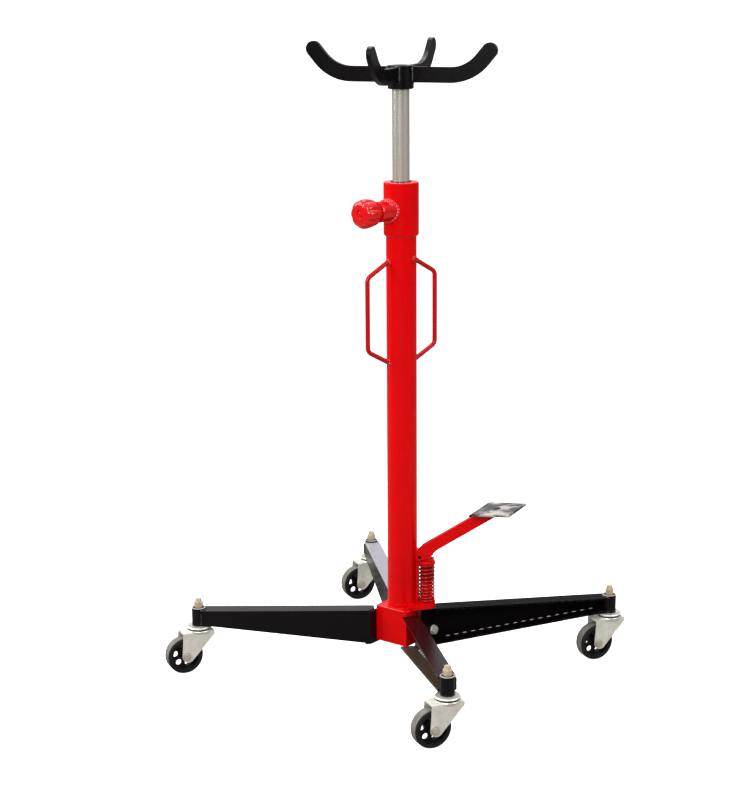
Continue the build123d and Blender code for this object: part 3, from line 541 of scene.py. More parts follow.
def bead(shape, points, radius, pitch=3.2 * MM, closed=False, step=0.8 * MM):
    """A hand-laid weld: a tube whose ripples follow the torch."""
    samples = walk(points, step, closed)
    total = samples[-1][1]
    sway = rng.random() * 6

    def radius_of(distance):
        ripple = abs(math.sin(math.pi * distance / pitch))
        slow = 0.08 * math.sin(distance / (5 * pitch) * 2 * math.pi + sway)
        ends = 1.0 if closed else min(1.0, 0.45 + min(distance, total - distance) / (2 * radius))
        return radius * (0.82 + 0.22 * ripple + slow) * ends

    return sweep(shape, samples, radius_of, 10, closed)


def circle_points(centre, axis, radius, count=72, start=0.0, extent=2 * math.pi):
    first, second = across(axis)
    return [
        centre + radius * (math.cos(start + extent * i / count) * first
                           + math.sin(start + extent * i / count) * second)
        for i in range(count + (extent < 2 * math.pi))
    ]


# ---- legs -----------------------------------------------------------------------------------------
LEG_HALF = 17 * MM
SHEET = 4 * MM
LEG_START, LEG_STOP = 58 * MM, 412 * MM
LEG_LOW = {name: (47.4 * MM, 99.6 * MM) for name in NAMES}  # underside at the start and at the stop
LEG_LOW["right"] = (39.5 * MM, 98.0 * MM)
LEG_REACH = (STEMS["right"] - STEMS["left"]).xy.length / 2
SOCKET_R = 14 * MM


def leg_direction(name):
    far = Vector((STEMS[name].x, STEMS[name].y, 0)) - CROSS
    return far.normalized()


def leg_point(name, outward, left, z):
    """A point in a leg's own directions: outward from the cross, left of it, and up."""
    direction = leg_direction(name)
    return CROSS + outward * direction + left * UP.cross(direction) + z * UP


def leg_floor(name, outward):
    """Height of the channel's underside."""
    low, high = LEG_LOW[name]
    return low + (outward - LEG_START) / (LEG_STOP - LEG_START) * (high - low)


def stitch_welds():
    """Short welds, evenly spaced, in each channel's lower inside corner."""
    pitch, length = 17.5 * MM, 9.5 * MM
    for name in NAMES:
        shape = Shape()
        start = LEG_START + 26 * MM
        while start + length < LEG_REACH - SOCKET_R - 6 * MM:
            corner = LEG_HALF - SHEET
            ends = [
                leg_point(name, start + k * length, corner, leg_floor(name, start + k * length) + SHEET)
                for k in (0, 1)
            ]
            bead(shape, ends, 2.3 * MM, 2.6 * MM)
            start += pitch
        shape.make(f"stitch_welds_{name}", "base", weld_wear_and_glint_paint, "black_paint")


def leg_end_welds():
    """Beads where each leg meets its stem socket."""
    for name in NAMES:
        shape = Shape()
        centre = STEMS[name].copy()
        back = math.atan2(-leg_direction(name).y, -leg_direction(name).x)
        for z in (leg_floor(name, LEG_STOP) + 1 * MM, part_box(f"leg_{name}")[1].z - 0.5 * MM):
            arc = [
                Vector((centre.x, centre.y, z)) + SOCKET_R * heading_vector(back + math.radians(turn))
                for turn in range(-78, 79, 6)
            ]
            bead(shape, arc, 1.8 * MM)
        web = LEG_HALF - SHEET
        outward = LEG_REACH - math.sqrt(SOCKET_R ** 2 - web ** 2)
        side = [leg_point(name, outward, LEG_HALF, z) for z in (leg_floor(name, outward) + 2 * MM, 126 * MM)]
        bead(shape, side, 1.6 * MM)
        shape.make(f"socket_welds_{name}", "base", black_weld, "black_paint")


def hub_point(distance, along, z, face=HUB_FACE):
    """A point seen from a hub face: out from the column, along the face, and up."""
    return distance * heading_vector(face) + along * heading_vector(face + math.pi / 2) + z * UP


TAB_HIGH = 118 * MM
WELD_OUT = HUB_HALF + 1 * MM


def root_welds():
    """Beads that hold the legs' roots and tabs to the hub."""
    for index, face in enumerate((HUB_FACE, HUB_FACE + math.pi)):
        shape = Shape()
        near, far = 7.2 * MM, 36 * MM
        heights = (HUB_LOW.z, TAB_HIGH)
        bead(shape, [hub_point(WELD_OUT, near, z, face) for z in heights], 2.2 * MM)
        bead(shape, [hub_point(WELD_OUT, along, TAB_HIGH, face) for along in (near, far)], 2.0 * MM)
        tongue = -6 * MM if index == 0 else -22 * MM
        bead(shape, [hub_point(WELD_OUT, tongue, z, face) for z in heights], 2.2 * MM)
        shape.make(f"root_welds_{index + 1}", "base", black_weld, "black_paint")


# ---- fasteners ------------------------------------------------------------------------------------
BOLT_HEIGHT = 66 * MM
BOLT_PLACES = ((HUB_FACE, 48 * MM), (HUB_FACE + math.pi, 22 * MM))  # the hub's face, and along it
SHANK_R, SHANK_LENGTH = 4.9 * MM, 15 * MM


def washer_ring(hole, rim, thick):
    """The closed profile of a plain washer."""
    return [(hole, 0), (rim, 0), (rim, thick), (hole, thick)]


def rod_profile(radius, start, end):
    """The profile of a plain rod between two places along its axis."""
    return [(0, start), (radius, start), (radius, end), (0, end)]


def leg_bolt_heads():
    """Hex bolts and washers on the legs' tabs."""
    shape = Shape()
    washer = 1.6 * MM
    for face, along in BOLT_PLACES:
        axis = heading_vector(face)
        seat = hub_point(HUB_HALF + SHEET, along, BOLT_HEIGHT, face)
        lathe(shape, seat, axis, washer_ring(5 * MM, 10.2 * MM, washer))
        hexagon(shape, seat + washer * axis, axis, 8 * MM, 6 * MM, math.radians(30))
        lathe(shape, seat - SHANK_LENGTH * axis, axis, rod_profile(SHANK_R, 0, SHANK_LENGTH))
    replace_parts(shape.make("leg_bolt_set", "base", bright_zinc, "zinc_plate"), "leg_bolts")


def stem_nut_set():
    """Nuts on the caster stems with their threads above, a dark ring in each socket's mouth that paints the shade
    of its bore, and a pale rim of rubbed paint that also paints a glint on the socket's edge.
    """
    low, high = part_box("stem_nuts")
    stem_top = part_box("caster_stems")[1].z
    stem_r = 6 * MM
    mouth_r = 11.6 * MM
    lock = 2.2 * MM  # thickness of the washer under each nut
    pitch = 1.75 * MM
    nuts, threads, bore_shades, rims = Shape(), Shape(), Shape(), Shape()
    for number, name in enumerate(NAMES):
        seat = Vector((STEMS[name].x, STEMS[name].y, low.z))
        # a dark ring on each socket's top: painted shade in its open bore
        lathe(bore_shades, seat, UP, washer_ring(stem_r, mouth_r, 0.3 * MM))
        # a pale rim: rubbed paint that also paints the glint on the socket's edge
        lathe(rims, seat, UP, [(mouth_r, 0), (SOCKET_R, 0), (SOCKET_R - 0.3 * MM, 0.7 * MM),
                               (SOCKET_R - 1.0 * MM, 1.0 * MM), (11.9 * MM, 0.9 * MM)], 48)
        hexagon(nuts, seat + lock * UP, UP, 8.2 * MM, high.z - low.z - lock, 0.35 + number, stem_r)
        lathe(nuts, seat, UP, washer_ring(stem_r, 7.6 * MM, lock))
        turns = (stem_top - 1.2 * MM - high.z) / pitch
        per_turn = 28
        helix = [
            (Vector((seat.x, seat.y, high.z + pitch * i / per_turn))
             + (stem_r - 0.1 * MM) * heading_vector(2 * math.pi * i / per_turn), float(i))
            for i in range(int(turns * per_turn) + 1)
        ]
        sweep(threads, helix, lambda distance: 0.62 * MM, 6)
    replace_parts(nuts.make("stem_nut_set", "base", yellow_zinc, "yellow_zinc"), "stem_nuts")
    threads.make("stem_threads", "base", yellow_zinc, "yellow_zinc")
    bore_shades.make("socket_bore_shade", "base", seal_rubber, "black_paint")
    rims.make("socket_rims", "base", weld_wear_and_glint_paint, "black_paint")


def small_hexes():
    """The filler plug on the collar and the screw in the saddle hub."""
    for node, body, out, apothem, material, slot in (
        ("oil_filler_plug", "base", COLLAR_R, 6.9 * MM, zinc, "zinc_plate"),
        ("saddle_setscrew", "saddle", SADDLE_R, 6.5 * MM, black_paint, "black_paint"),
    ):
        centre = middle(node)
        axis = Vector((centre.x, centre.y, 0)).normalized()
        seat = out * axis + centre.z * UP
        shape = Shape()
        washer, depth = 1.2 * MM, 6 * MM
        lathe(shape, seat, axis, washer_ring(4 * MM, apothem * 1.25, washer))
        hexagon(shape, seat + washer * axis, axis, apothem, 4.6 * MM)
        lathe(shape, seat - depth * axis, axis, rod_profile(3.9 * MM, 0, depth))
        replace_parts(shape.make(f"{node}_hex", body, material, slot), node)


# ---- casters --------------------------------------------------------------------------------------
WHEEL_R, CORE_R, WHEEL_HALF = 37.5 * MM, 29 * MM, 13 * MM
FORK_HALF = 18 * MM


def tyres():
    """Tyres with a crowned tread, rounded shoulders and a mould rib on each side."""
    for name in NAMES:
        centre, axis = joint_place(f"wheel_spin_{name}")
        half = WHEEL_HALF
        profile = [(CORE_R, -half + 0.6 * MM), (CORE_R + 1.2 * MM, -half)]
        profile += [(CORE_R + 2.6 * MM, -half), (CORE_R + 3.0 * MM, -half + 0.5 * MM)]
        profile += [(CORE_R + 3.6 * MM, -half + 0.5 * MM), (CORE_R + 4.0 * MM, -half)]
        for turn in range(0, 91, 15):
            swing = math.radians(turn)
            shoulder = 3.6 * MM
            profile.append((
                WHEEL_R - 0.5 * MM - shoulder + shoulder * math.sin(swing),
                -half + shoulder - shoulder * math.cos(swing),
            ))
        profile.append((WHEEL_R - 0.08 * MM, -half * 0.3))
        profile += [(WHEEL_R, -0.4 * MM)]
        profile += [(radius, -along) for radius, along in reversed(profile)]
        shape = Shape()
        lathe(shape, centre, axis, profile, 96)
        tyre = shape.make(f"tyre_{name}", f"wheel_{name}", tyre_rubber, "wheel_tyre")
        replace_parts(tyre, f"wheel_tyre_{name}")
        # the tread band is lighter grey than the black sidewall: painted light on the tread
        tread = Shape()
        lathe(tread, centre, axis, [(WHEEL_R - 0.5 * MM, -9.8 * MM), (WHEEL_R + 0.1 * MM, -8.6 * MM),
                                    (WHEEL_R + 0.35 * MM, 0), (WHEEL_R + 0.1 * MM, 8.6 * MM),
                                    (WHEEL_R - 0.5 * MM, 9.8 * MM)], 96)
        tread.make(f"tread_{name}", f"wheel_{name}", tread_lit_rubber, "wheel_tyre")


def axle_bolt(name, centre, axis):
    """A hex head and a nut on washers, with the bolt's end past the nut."""
    shape = Shape()
    washer = 1.1 * MM
    for sign, height in ((1, 5.5 * MM), (-1, 5 * MM)):
        side = sign * axis
        face = centre + FORK_HALF * side
        lathe(shape, face, side, washer_ring(4 * MM, 8.6 * MM, washer), 32)
        hexagon(shape, face + washer * side, side, 6.5 * MM, height - washer, 0.2 * sign)
    shank = [(0, -FORK_HALF), (3.9 * MM, -FORK_HALF), (3.9 * MM, FORK_HALF + 7 * MM),
             (3.2 * MM, FORK_HALF + 7.8 * MM), (0, FORK_HALF + 7.8 * MM)]
    lathe(shape, centre, axis, shank, 24)
    bolt = shape.make(f"axle_bolt_{name}", f"caster_{name}", zinc, "zinc_plate")
    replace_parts(bolt, f"caster_axle_{name}")


def core_ribs(name, centre, axis):
    """Raised rings round each face of a wheel's web: one at its hub, one under its rim."""
    shape = Shape()
    web_half = 3 * MM
    rim = CORE_R - 1.9 * MM
    for sign in (1, -1):
        side = sign * axis
        face = centre + web_half * side
        lathe(shape, face, side, [(10 * MM, 0), (10.3 * MM, 1.4 * MM), (12 * MM, 1.4 * MM),
                                  (12.4 * MM, 0)], 48)
        lathe(shape, face, side, [(CORE_R - 3.4 * MM, 0), (CORE_R - 3 * MM, 1.6 * MM), (rim, 1.6 * MM),
                                  (rim, 0)], 64)
    shape.make(f"core_ribs_{name}", f"wheel_{name}", core_plastic, "wheel_core")


def swivel_races(name):
    """The two pressed rings of a swivel head, with a dark ring between them that paints the shade in their gap."""
    stem = Vector((STEMS[name].x, STEMS[name].y, 0))
    lower, gap_shade, upper = Shape(), Shape(), Shape()
    lathe(lower, stem + 86 * MM * UP, UP, [
        (21 * MM, 0.1 * MM), (25.0 * MM, 0.1 * MM), (25.6 * MM, 1.2 * MM), (24.9 * MM, 2.6 * MM),
        (21 * MM, 2.8 * MM),
    ], 64)
    # a dark ring between the races: painted shade in the gap
    lathe(gap_shade, stem + 88.8 * MM * UP, UP, washer_ring(21 * MM, 22.9 * MM, 2.1 * MM), 64)
    lathe(upper, stem + 91.5 * MM * UP, UP, [
        (20 * MM, 0.9 * MM), (24.6 * MM, 0.9 * MM), (24.9 * MM, 1.8 * MM), (23.4 * MM, 3.6 * MM),
        (15 * MM, 4.9 * MM), (14 * MM, 4.4 * MM),
    ], 64)
    lower.make(f"race_lower_{name}", f"caster_{name}", bright_zinc, "zinc_plate")
    gap_shade.make(f"race_gap_shade_{name}", f"caster_{name}", seal_rubber, "zinc_plate")
    upper.make(f"race_upper_{name}", "base", bright_zinc, "zinc_plate")


def caster_details():
    """Axle bolts, core rings and swivel races."""
    for name in NAMES:
        centre, axis = joint_place(f"wheel_spin_{name}")
        axle_bolt(name, centre, axis)
        core_ribs(name, centre, axis)
        swivel_races(name)


# ---- foot pump ------------------------------------------------------------------------------------
PUMP = Vector((middle("pump_cylinder").x, middle("pump_cylinder").y, 0))
PUMP_OUT = PUMP.normalized()
PEDAL_AXIS = joint_place("pedal_press")[1]


def coil_spring():
    """The pump's return spring: closed ends, and turns that stand wider apart towards the top."""
    low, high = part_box("return_spring")
    wire = 1.75 * MM
    mean = half_width("return_spring") - wire
    turns, steps = 11.5, 40
    samples = []
    count = int(turns * steps)
    bottom, top = low.z + wire, high.z - wire
    for i in range(count + 1):
        share = i / count
        closed_ends = 0.055
        if share < closed_ends:
            rise = 0.35 * share
        elif share > 1 - closed_ends:
            rise = 1 - 0.35 * (1 - share)
        else:
            inner = (share - closed_ends) / (1 - 2 * closed_ends)
            eased = inner + 0.055 * math.sin(math.pi * inner) * (inner - 1.2)
            rise = 0.35 * closed_ends + (1 - 0.7 * closed_ends) * eased
        turn = 2 * math.pi * turns * share
        centre = PUMP + (bottom + rise * (top - bottom)) * UP
        samples.append((centre + mean * heading_vector(turn), share))
    shape = Shape()
    sweep(shape, samples, lambda distance: wire, 12)
    coil = shape.make("spring_coil", "base", spring_paint, "red_paint")
    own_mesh(coil)
    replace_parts(coil, "return_spring")


def spring_washer(cap_low):
    """A washer between the spring and the plunger's cap."""
    thick = 1.4 * MM
    washer = Shape()
    lathe(washer, PUMP + (cap_low - thick) * UP, UP,
          [(8 * MM, 0), (16.8 * MM, 0), (17.6 * MM, thick / 2), (16.8 * MM, thick), (8 * MM, thick)])
    washer.make("spring_washer", "plunger", red_paint, "red_paint")


def pedal_pins():
    """The lever's two pins, which end a little inside its cheeks; the pivot pin is dark, which paints the shade in
    its hole.
    """
    half = 10.6 * MM
    # the pivot pin is dark rubber so its end reads as a dark hole: painted shade
    pins = (("pedal_pivot_pin", 3.9 * MM, seal_rubber), ("lever_roller_pin", 2.9 * MM, red_paint))
    for node, radius, paint in pins:
        pin = Shape()
        lathe(pin, middle(node), PEDAL_AXIS, rod_profile(radius, -half, half), 28)
        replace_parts(pin.make(f"{node}_shank", "pedal", paint, "zinc_plate"), node)


def plunger_sleeve(cap_low):
    """A thin sleeve round the plunger, inside the spring, in dark red that paints the shade between the coils."""
    inner, outer, foot = 12.3 * MM, 12.9 * MM, 180 * MM
    sleeve = Shape()
    lathe(sleeve, PUMP, UP, [(inner, foot), (outer, foot), (outer, cap_low), (inner, cap_low)], 40)
    sleeve.make("plunger_sleeve", "plunger", spring_shade_paint, "red_paint")


def hub_welds():
    """Beads round the column's foot and along the hub's top edges."""
    foot = Shape()
    for z in (HUB_HIGH.z, BLOCK_TOP):
        bead(foot, circle_points(Vector((0, 0, z)), UP, COLUMN_R, 96), 1.3 * MM, closed=True)
    foot.make("column_foot_welds", "base", red_paint, "red_paint")
    welds = Shape()
    for quarters, start, end in ((0, -34, 36), (-1, -36, 34), (1, -36, 34), (2, -34, 36)):
        face = HUB_FACE + quarters * math.pi / 2
        run = [
            hub_point(HUB_HALF - 0.4 * MM, along * MM, HUB_HIGH.z - 0.2 * MM, face) for along in (start, end)
        ]
        bead(welds, run, 1.5 * MM, 4.5 * MM)
    welds.make("hub_welds", "base", glint_paint, "red_paint")


def pump_details():
    cap_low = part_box("plunger_cap")[0].z
    spring_washer(cap_low)
    pedal_pins()
    plunger_sleeve(cap_low)
    hub_welds()


PAD_CENTRE = 198.4 * MM * PUMP_OUT + 343.6 * MM * UP
PAD_TILT, PAD_TURN = math.radians(5), math.radians(-8)
PAD_HALF_LONG, PAD_HALF_WIDE, PAD_HALF_THICK = 43 * MM, 47.5 * MM, 2.5 * MM
CURL_R = 12 * MM
FLAT_END = 9.6 * MM - PAD_HALF_LONG  # where the inner edge starts to curl down
PAD_INNER = FLAT_END - 10.4 * MM


def square_point(along, wide, lift):
    """A point on the pad before it is turned: along it from its centre, across it, above its middle plane."""
    out = math.cos(PAD_TILT) * PUMP_OUT + math.sin(PAD_TILT) * UP
    normal = math.cos(PAD_TILT) * UP - math.sin(PAD_TILT) * PUMP_OUT
    side = wide * UP.cross(PUMP_OUT)
    if along >= FLAT_END:
        return PAD_CENTRE + along * out + lift * normal + side
    turn = (FLAT_END - along) / CURL_R
    pivot = PAD_CENTRE + FLAT_END * out - CURL_R * normal
    arm = CURL_R + lift
    return pivot - arm * math.sin(turn) * out + arm * math.cos(turn) * normal + side


def tread_point(along, wide, lift):
    """The same point on the pad as it sits, turned a little on its bolt."""
    square = square_point(along, wide, lift)
    return PAD_CENTRE + Matrix.Rotation(PAD_TURN, 3, "Z") @ (square - PAD_CENTRE)


def pad_half_width(along):
    """Half the pad's width, which shrinks round its four corners."""
    corner = 2.5 * MM
    short = min(along - PAD_INNER, PAD_HALF_LONG - along)
    if short >= corner:
        return PAD_HALF_WIDE
    drop = corner - short
    return PAD_HALF_WIDE - corner + math.sqrt(max(0.0, corner ** 2 - drop ** 2))


def pad_ring(along, columns, edge):
    """The pad's section at one place along it, with rounded edges."""
    wide = pad_half_width(along)
    lip = min(1.0, min(along - PAD_INNER, PAD_HALF_LONG - along) / edge)
    thick = PAD_HALF_THICK - edge + edge * math.sqrt(max(0.0, 1 - (1 - lip) ** 2))
    ring = []
    for side in (1, -1):
        for column in range(columns + 1):
            share = side * (2 * column / columns - 1)
            ring.append(tread_point(along, share * (wide - edge), side * thick))
        ring.append(tread_point(along, side * wide, side * (thick - edge)))
        ring.append(tread_point(along, side * wide, side * (edge - thick)))
    return ring


def foot_plate():
    """The foot pad: a pressed plate with a curled inner edge, held by one bolt in its middle."""
    columns, rows = 48, 60
    shape = Shape()
    rings = []
    for row in range(rows + 1):
        share = row / rows
        eased = 0.5 - 0.5 * math.cos(math.pi * share)
        along = PAD_INNER + (PAD_HALF_LONG - PAD_INNER) * (0.25 * share + 0.75 * eased)
        rings.append(pad_ring(along, columns, 1.1 * MM))
    shape.rings(rings)
    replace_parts(shape.make("foot_plate", "pedal", pad_paint, "black_paint"), "foot_pad")
    screw = Shape()
    seat = tread_point(0, 0, PAD_HALF_THICK)
    normal = (tread_point(0, 0, 2 * PAD_HALF_THICK) - seat).normalized()
    lathe(screw, seat, normal, [(7 * MM, -0.4 * MM), (7 * MM, 0), (5.2 * MM, 1.3 * MM), (2.4 * MM, 1.8 * MM),
                                (0, 1.9 * MM)], 32)
    screw.make("pad_bolt_head", "pedal", black_paint, "black_paint")


# ---- release valve --------------------------------------------------------------------------------
VALVE_PLACE, VALVE_AXIS = joint_place("release_knob_turn")
VALVE_ORIGIN = VALVE_PLACE - VALVE_PLACE.xy.to_3d().length * VALVE_AXIS  # on the column's axis


def knob_grip():
    """The knob: a tapering grip with eight soft lobes, a domed face and a screw in its middle."""
    near = 66.4 * MM
    far = 113 * MM
    first, second = across(VALVE_AXIS)
    segments = 160
    profile = [(17.5, 0.0, 0.0), (18.2, 0.8, 0.0), (19.4, 3.0, 0.1), (22.0, 7.0, 0.5), (25.0, 12.0, 1.0),
               (27.0, 18.0, 1.5), (28.1, 25.0, 1.8), (28.6, 32.0, 1.9), (28.3, 38.0, 1.8), (27.2, 42.0, 1.5),
               (25.0, 44.8, 1.0), (21.8, 46.2, 0.4), (17.0, 46.6, 0.1), (9.2, 46.6, 0.0), (8.6, 46.0, 0.0),
               (8.2, 44.6, 0.0), (0.0, 44.5, 0.0)]
    rings = []
    for radius, along, lobe in profile:
        ring = []
        for j in range(segments):
            turn = 2 * math.pi * j / segments
            wave = abs(math.cos(4 * turn))
            r = radius - lobe * 1.6 * (1 - wave) ** 1.6
            spoke = math.cos(turn) * first + math.sin(turn) * second
            ring.append(VALVE_ORIGIN + (near + along * MM) * VALVE_AXIS + max(r * MM, 0.01 * MM) * spoke)
        rings.append(ring)
    shape = Shape()
    shape.rings(rings)
    grip = shape.make("knob_grip", "knob", gloss_red, "red_paint")
    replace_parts(grip, "release_knob")
    screw = Shape()
    seat = VALVE_ORIGIN + (far - 2.2 * MM) * VALVE_AXIS
    lathe(screw, seat, VALVE_AXIS, [(5.6 * MM, 0), (5.6 * MM, 0.8 * MM), (4.6 * MM, 1.6 * MM),
                                    (2.2 * MM, 1.9 * MM), (1.9 * MM, 0.9 * MM), (0, 0.8 * MM)], 32)
    screw.make("knob_screw", "knob", red_paint, "red_paint")


def valve_welds():
    """The lumpy fillet where the valve housing meets the collar, built up in passes over its top."""
    first, second = across(VALVE_AXIS)

    def on_joint(turn, radius, ahead):
        flat = radius * (math.cos(turn) * first + math.sin(turn) * second)
        sideways = min(flat.xy.to_3d().length, COLLAR_R)
        return VALVE_ORIGIN + flat + (math.sqrt(COLLAR_R ** 2 - sideways ** 2) + ahead) * VALVE_AXIS

    shape = Shape()
    round_joint = [on_joint(2 * math.pi * i / 96, 20.5 * MM, 0.8 * MM) for i in range(96)]
    bead(shape, round_joint, 4.0 * MM, 6 * MM, closed=True)
    for ahead, size in ((5.5 * MM, 3.6 * MM), (11 * MM, 3.0 * MM)):
        run = [on_joint(math.radians(turn), 20.2 * MM, ahead) for turn in range(205, 336, 5)]
        bead(shape, run, size, 7 * MM)
    shape.make("valve_weld", "base", glint_paint, "red_paint")


# ---- column, handles and saddle -------------------------------------------------------------------
def column_welds():
    """Beads under the collar and at the four handle ends."""
    shape = Shape()
    rim = circle_points(Vector((0, 0, COLLAR_LOW.z + 0.2 * MM)), UP, COLUMN_R + 0.6 * MM, 96)
    bead(shape, rim, 1.5 * MM, 2.8 * MM, closed=True)
    for node in ("carry_handle_front", "carry_handle_rear"):
        low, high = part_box(node)
        centre = (low + high) / 2
        direction = Vector((centre.x, centre.y, 0)).normalized()
        for z, lean in ((high.z - 6.2 * MM, -0.6), (low.z + 6.2 * MM, 0.6)):
            axis = (direction + lean * UP).normalized()
            seat = COLUMN_R * direction + z * UP
            samples = walk(circle_points(seat, axis, 5.0 * MM, 36), 0.8 * MM, True)
            snug = []
            for point, distance in samples:
                reach = point.xy.length
                scale = max(COLUMN_R, min(reach, COLUMN_R + 0.8 * MM)) / reach
                snug.append((Vector((point.x * scale, point.y * scale, point.z)), distance))
            phase = rng.random() * 5
            sweep(shape, snug, lambda d: (2.0 + 0.5 * math.sin(d / (1.1 * MM) + phase)) * MM, 10, True)
    shape.make("column_welds", "base", glint_paint, "red_paint")


def handle_wrap():
    """The rear handle's upper end goes on round the column and stops at a round cap on its front."""
    end, drop, slope = 24, 6.4, 0.07  # heading at the handle, how far down it lies there, fall a degree
    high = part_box("carry_handle_rear")[1].z
    around = [
        (COLUMN_R + 1.5 * MM) * heading_vector(math.radians(turn))
        + (high - (drop - slope * (end - turn)) * MM) * UP
        for turn in range(-40, end + 1, 4)
    ]
    wrap = Shape()
    sweep(wrap, walk(around, 1.5 * MM), lambda distance: 3.6 * MM, 12)
    face = heading_vector(math.radians(-40))
    lathe(wrap, (COLUMN_R - 2 * MM) * face + (high - 2.0 * MM) * UP, face, [
        (0, 0), (7.9 * MM, 0), (7.8 * MM, 4 * MM), (6.6 * MM, 5.9 * MM), (3.6 * MM, 7.0 * MM), (0, 7.2 * MM),
    ], 40)
    wrap.make("handle_wrap", "base", handle_shade_paint, "red_paint")


def head_ring():
    """The painted ring that closes the head of the collar round the ram; its pinker red and pale pink edges paint
    the sheen on the collar's top.
    """
    inner = 17.5 * MM
    ring = Shape()
    lathe(ring, COLLAR_HIGH.z * UP, UP, [(inner, -0.2 * MM), (COLLAR_R - 1.4 * MM, -0.2 * MM),
                                         (COLLAR_R - 1.8 * MM, 0.5 * MM), (inner, 0.7 * MM)], 96)
    ring.make("head_ring", "base", head_sheen_paint, "red_paint")


ARM_HEADINGS = (-23, 64.5, 157, 247)  # degrees
ARM_HEIGHT = 30 * MM
ARM_HALF_THICK = 5 * MM


def saddle_welds():
    """Upright beads on both sides of each saddle arm, and one under it."""
    shape = Shape()
    arm_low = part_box("saddle_arm_right")[0].z
    arm_high = arm_low + ARM_HEIGHT
    half_thick = ARM_HALF_THICK
    for heading in ARM_HEADINGS:
        along = heading_vector(math.radians(heading))
        side = UP.cross(along)
        reach = math.sqrt(SADDLE_R ** 2 - half_thick ** 2)
        for sign in (1, -1):
            foot = (reach + 0.4 * MM) * along + sign * (half_thick + 0.4 * MM) * side
            bead(shape, [foot + arm_low * UP, foot + arm_high * UP], 1.9 * MM, 3.4 * MM)
        for z in (arm_low - 0.3 * MM, arm_high + 0.3 * MM):
            ends = [(SADDLE_R + 0.2 * MM) * along + sign * half_thick * side + z * UP for sign in (-1, 1)]
            bead(shape, ends, 1.7 * MM, 3.4 * MM)
    shape.make("saddle_welds", "saddle", black_weld, "black_paint")


# ---- stage ----------------------------------------------------------------------------------------
FLOOR_GLOW = 0.78
FLOOR_BOUNCE = (0.24, 0.23, 0.22)
SKY = 1.0
LAMPS = (  # name, place, size in metres, watts
    ("front_lamp", (-1.3, -3.4, 2.4), 2.2, 95),
    ("side_lamp", (-3.0, 0.3, 1.9), 1.4, 45),
    ("far_lamp", (2.6, -1.6, 2.2), 1.8, 40),
    ("top_lamp", (0.3, 0.8, 3.4), 2.0, 45),
)


def camera_only(tree, seen, unseen, kind):
    """Mix two shaders or colours: one where the eye meets it, the other for light and reflections."""
    path = tree.nodes.new("ShaderNodeLightPath")
    mix = tree.nodes.new(kind)
    tree.links.new(path.outputs["Is Camera Ray"], mix.inputs[0])
    tree.links.new(unseen, mix.inputs[1])
    tree.links.new(seen, mix.inputs[2])
    return mix.outputs[0]


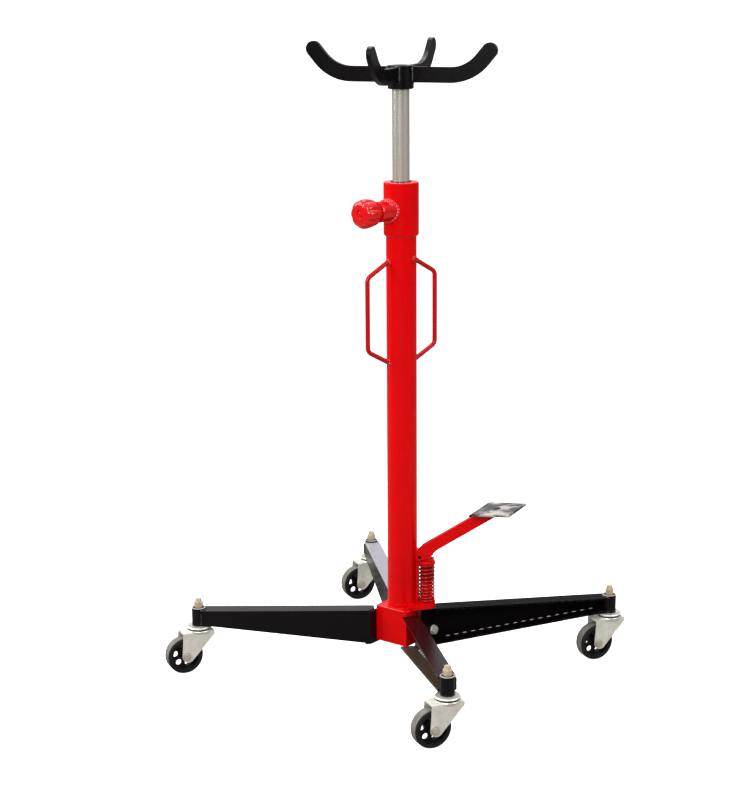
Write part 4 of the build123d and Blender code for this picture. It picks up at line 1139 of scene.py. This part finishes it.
def studio():
    """A white floor that throws little light back up, a sky bright above and behind, and soft lamps."""
    bpy.ops.mesh.primitive_circle_add(vertices=96, radius=60, fill_type="NGON", location=(0, 0, 0))
    floor = bpy.context.object
    floor.name = "studio_floor"
    mat = bpy.data.materials.new("pale_floor")
    mat.use_nodes = True
    tree = mat.node_tree
    tree.nodes.remove(tree.nodes["Principled BSDF"])
    glow = tree.nodes.new("ShaderNodeEmission")
    glow.inputs["Strength"].default_value = FLOOR_GLOW
    matte = tree.nodes.new("ShaderNodeBsdfDiffuse")
    matte.inputs["Color"].default_value = (0.9, 0.9, 0.9, 1)
    white = tree.nodes.new("ShaderNodeAddShader")
    tree.links.new(glow.outputs[0], white.inputs[0])
    tree.links.new(matte.outputs[0], white.inputs[1])
    grey = tree.nodes.new("ShaderNodeBsdfDiffuse")
    grey.inputs["Color"].default_value = (*FLOOR_BOUNCE, 1)
    surface = camera_only(tree, white.outputs[0], grey.outputs[0], "ShaderNodeMixShader")
    tree.links.new(surface, tree.nodes["Material Output"].inputs["Surface"])
    floor.data.materials.append(mat)

    world = bpy.data.worlds.new("studio_sky")
    bpy.context.scene.world = world
    world.use_nodes = True
    tree = world.node_tree
    coords = tree.nodes.new("ShaderNodeTexCoord")
    facing = tree.nodes.new("ShaderNodeVectorMath")
    facing.operation = "DOT_PRODUCT"
    facing.inputs[1].default_value = Vector((-0.30, 0.42, 0.86)).normalized()
    tree.links.new(coords.outputs["Generated"], facing.inputs[0])
    spot = tree.nodes.new("ShaderNodeMapRange")
    spot.inputs["From Min"].default_value = -1.0
    tree.links.new(facing.outputs["Value"], spot.inputs["Value"])
    shade = tree.nodes.new("ShaderNodeValToRGB")
    elements = shade.color_ramp.elements
    elements[0].position, elements[0].color = 0.30, (0.10, 0.10, 0.11, 1)
    elements[1].position, elements[1].color = 0.92, (1.0, 1.0, 1.0, 1)
    middle_stop = elements.new(0.62)
    middle_stop.color = (0.34, 0.34, 0.35, 1)
    tree.links.new(spot.outputs["Result"], shade.inputs["Fac"])
    seen = tree.nodes.new("ShaderNodeBackground")
    unseen = tree.nodes["Background"]
    unseen.inputs["Strength"].default_value = SKY
    tree.links.new(shade.outputs["Color"], unseen.inputs["Color"])
    seen.inputs["Color"].default_value = (1, 1, 1, 1)
    sky = camera_only(tree, seen.outputs[0], unseen.outputs[0], "ShaderNodeMixShader")
    tree.links.new(sky, tree.nodes["World Output"].inputs["Surface"])

    for name, place, size, power in LAMPS:
        lamp = bpy.data.lights.new(name, "AREA")
        lamp.energy = power
        lamp.size = size
        holder = bpy.data.objects.new(name, lamp)
        holder.location = place
        aim = Vector((0, 0, 0.6)) - Vector(place)
        holder.rotation_euler = aim.to_track_quat("-Z", "Y").to_euler()
        bpy.context.scene.collection.objects.link(holder)


def camera():
    """Eye height 1.44 m, 3.7 m in front and a little to the left, looking 13 degrees down."""
    distance, height = 3.737, 1.441
    azimuth = math.radians(-5.14)
    heading = math.radians(-4.12)
    pitch = math.radians(13.36)
    roll = math.radians(-0.44)
    lens = bpy.data.cameras.new("product_camera")
    lens.sensor_fit = "HORIZONTAL"
    lens.sensor_width = 36
    lens.lens = 93.98
    eye = bpy.data.objects.new("product_camera", lens)
    level = Vector((-math.sin(heading), math.cos(heading), 0))
    forward = math.cos(pitch) * level - math.sin(pitch) * UP
    right = forward.cross(UP).normalized()
    above = right.cross(forward)
    right, above = (
        math.cos(roll) * right + math.sin(roll) * above,
        -math.sin(roll) * right + math.cos(roll) * above,
    )
    place = Vector((math.sin(azimuth) * distance, -math.cos(azimuth) * distance, height))
    eye.matrix_world = Matrix.Translation(place) @ Matrix((right, above, -forward)).transposed().to_4x4()
    bpy.context.scene.collection.objects.link(eye)
    bpy.context.scene.camera = eye
    bpy.context.scene.view_settings.view_transform = "Standard"


camera()
studio()
dress_cad_nodes()
stitch_welds()
leg_end_welds()
root_welds()
leg_bolt_heads()
stem_nut_set()
small_hexes()
tyres()
caster_details()
coil_spring()
pump_details()
foot_plate()
knob_grip()
valve_welds()
column_welds()
handle_wrap()
head_ring()
saddle_welds()
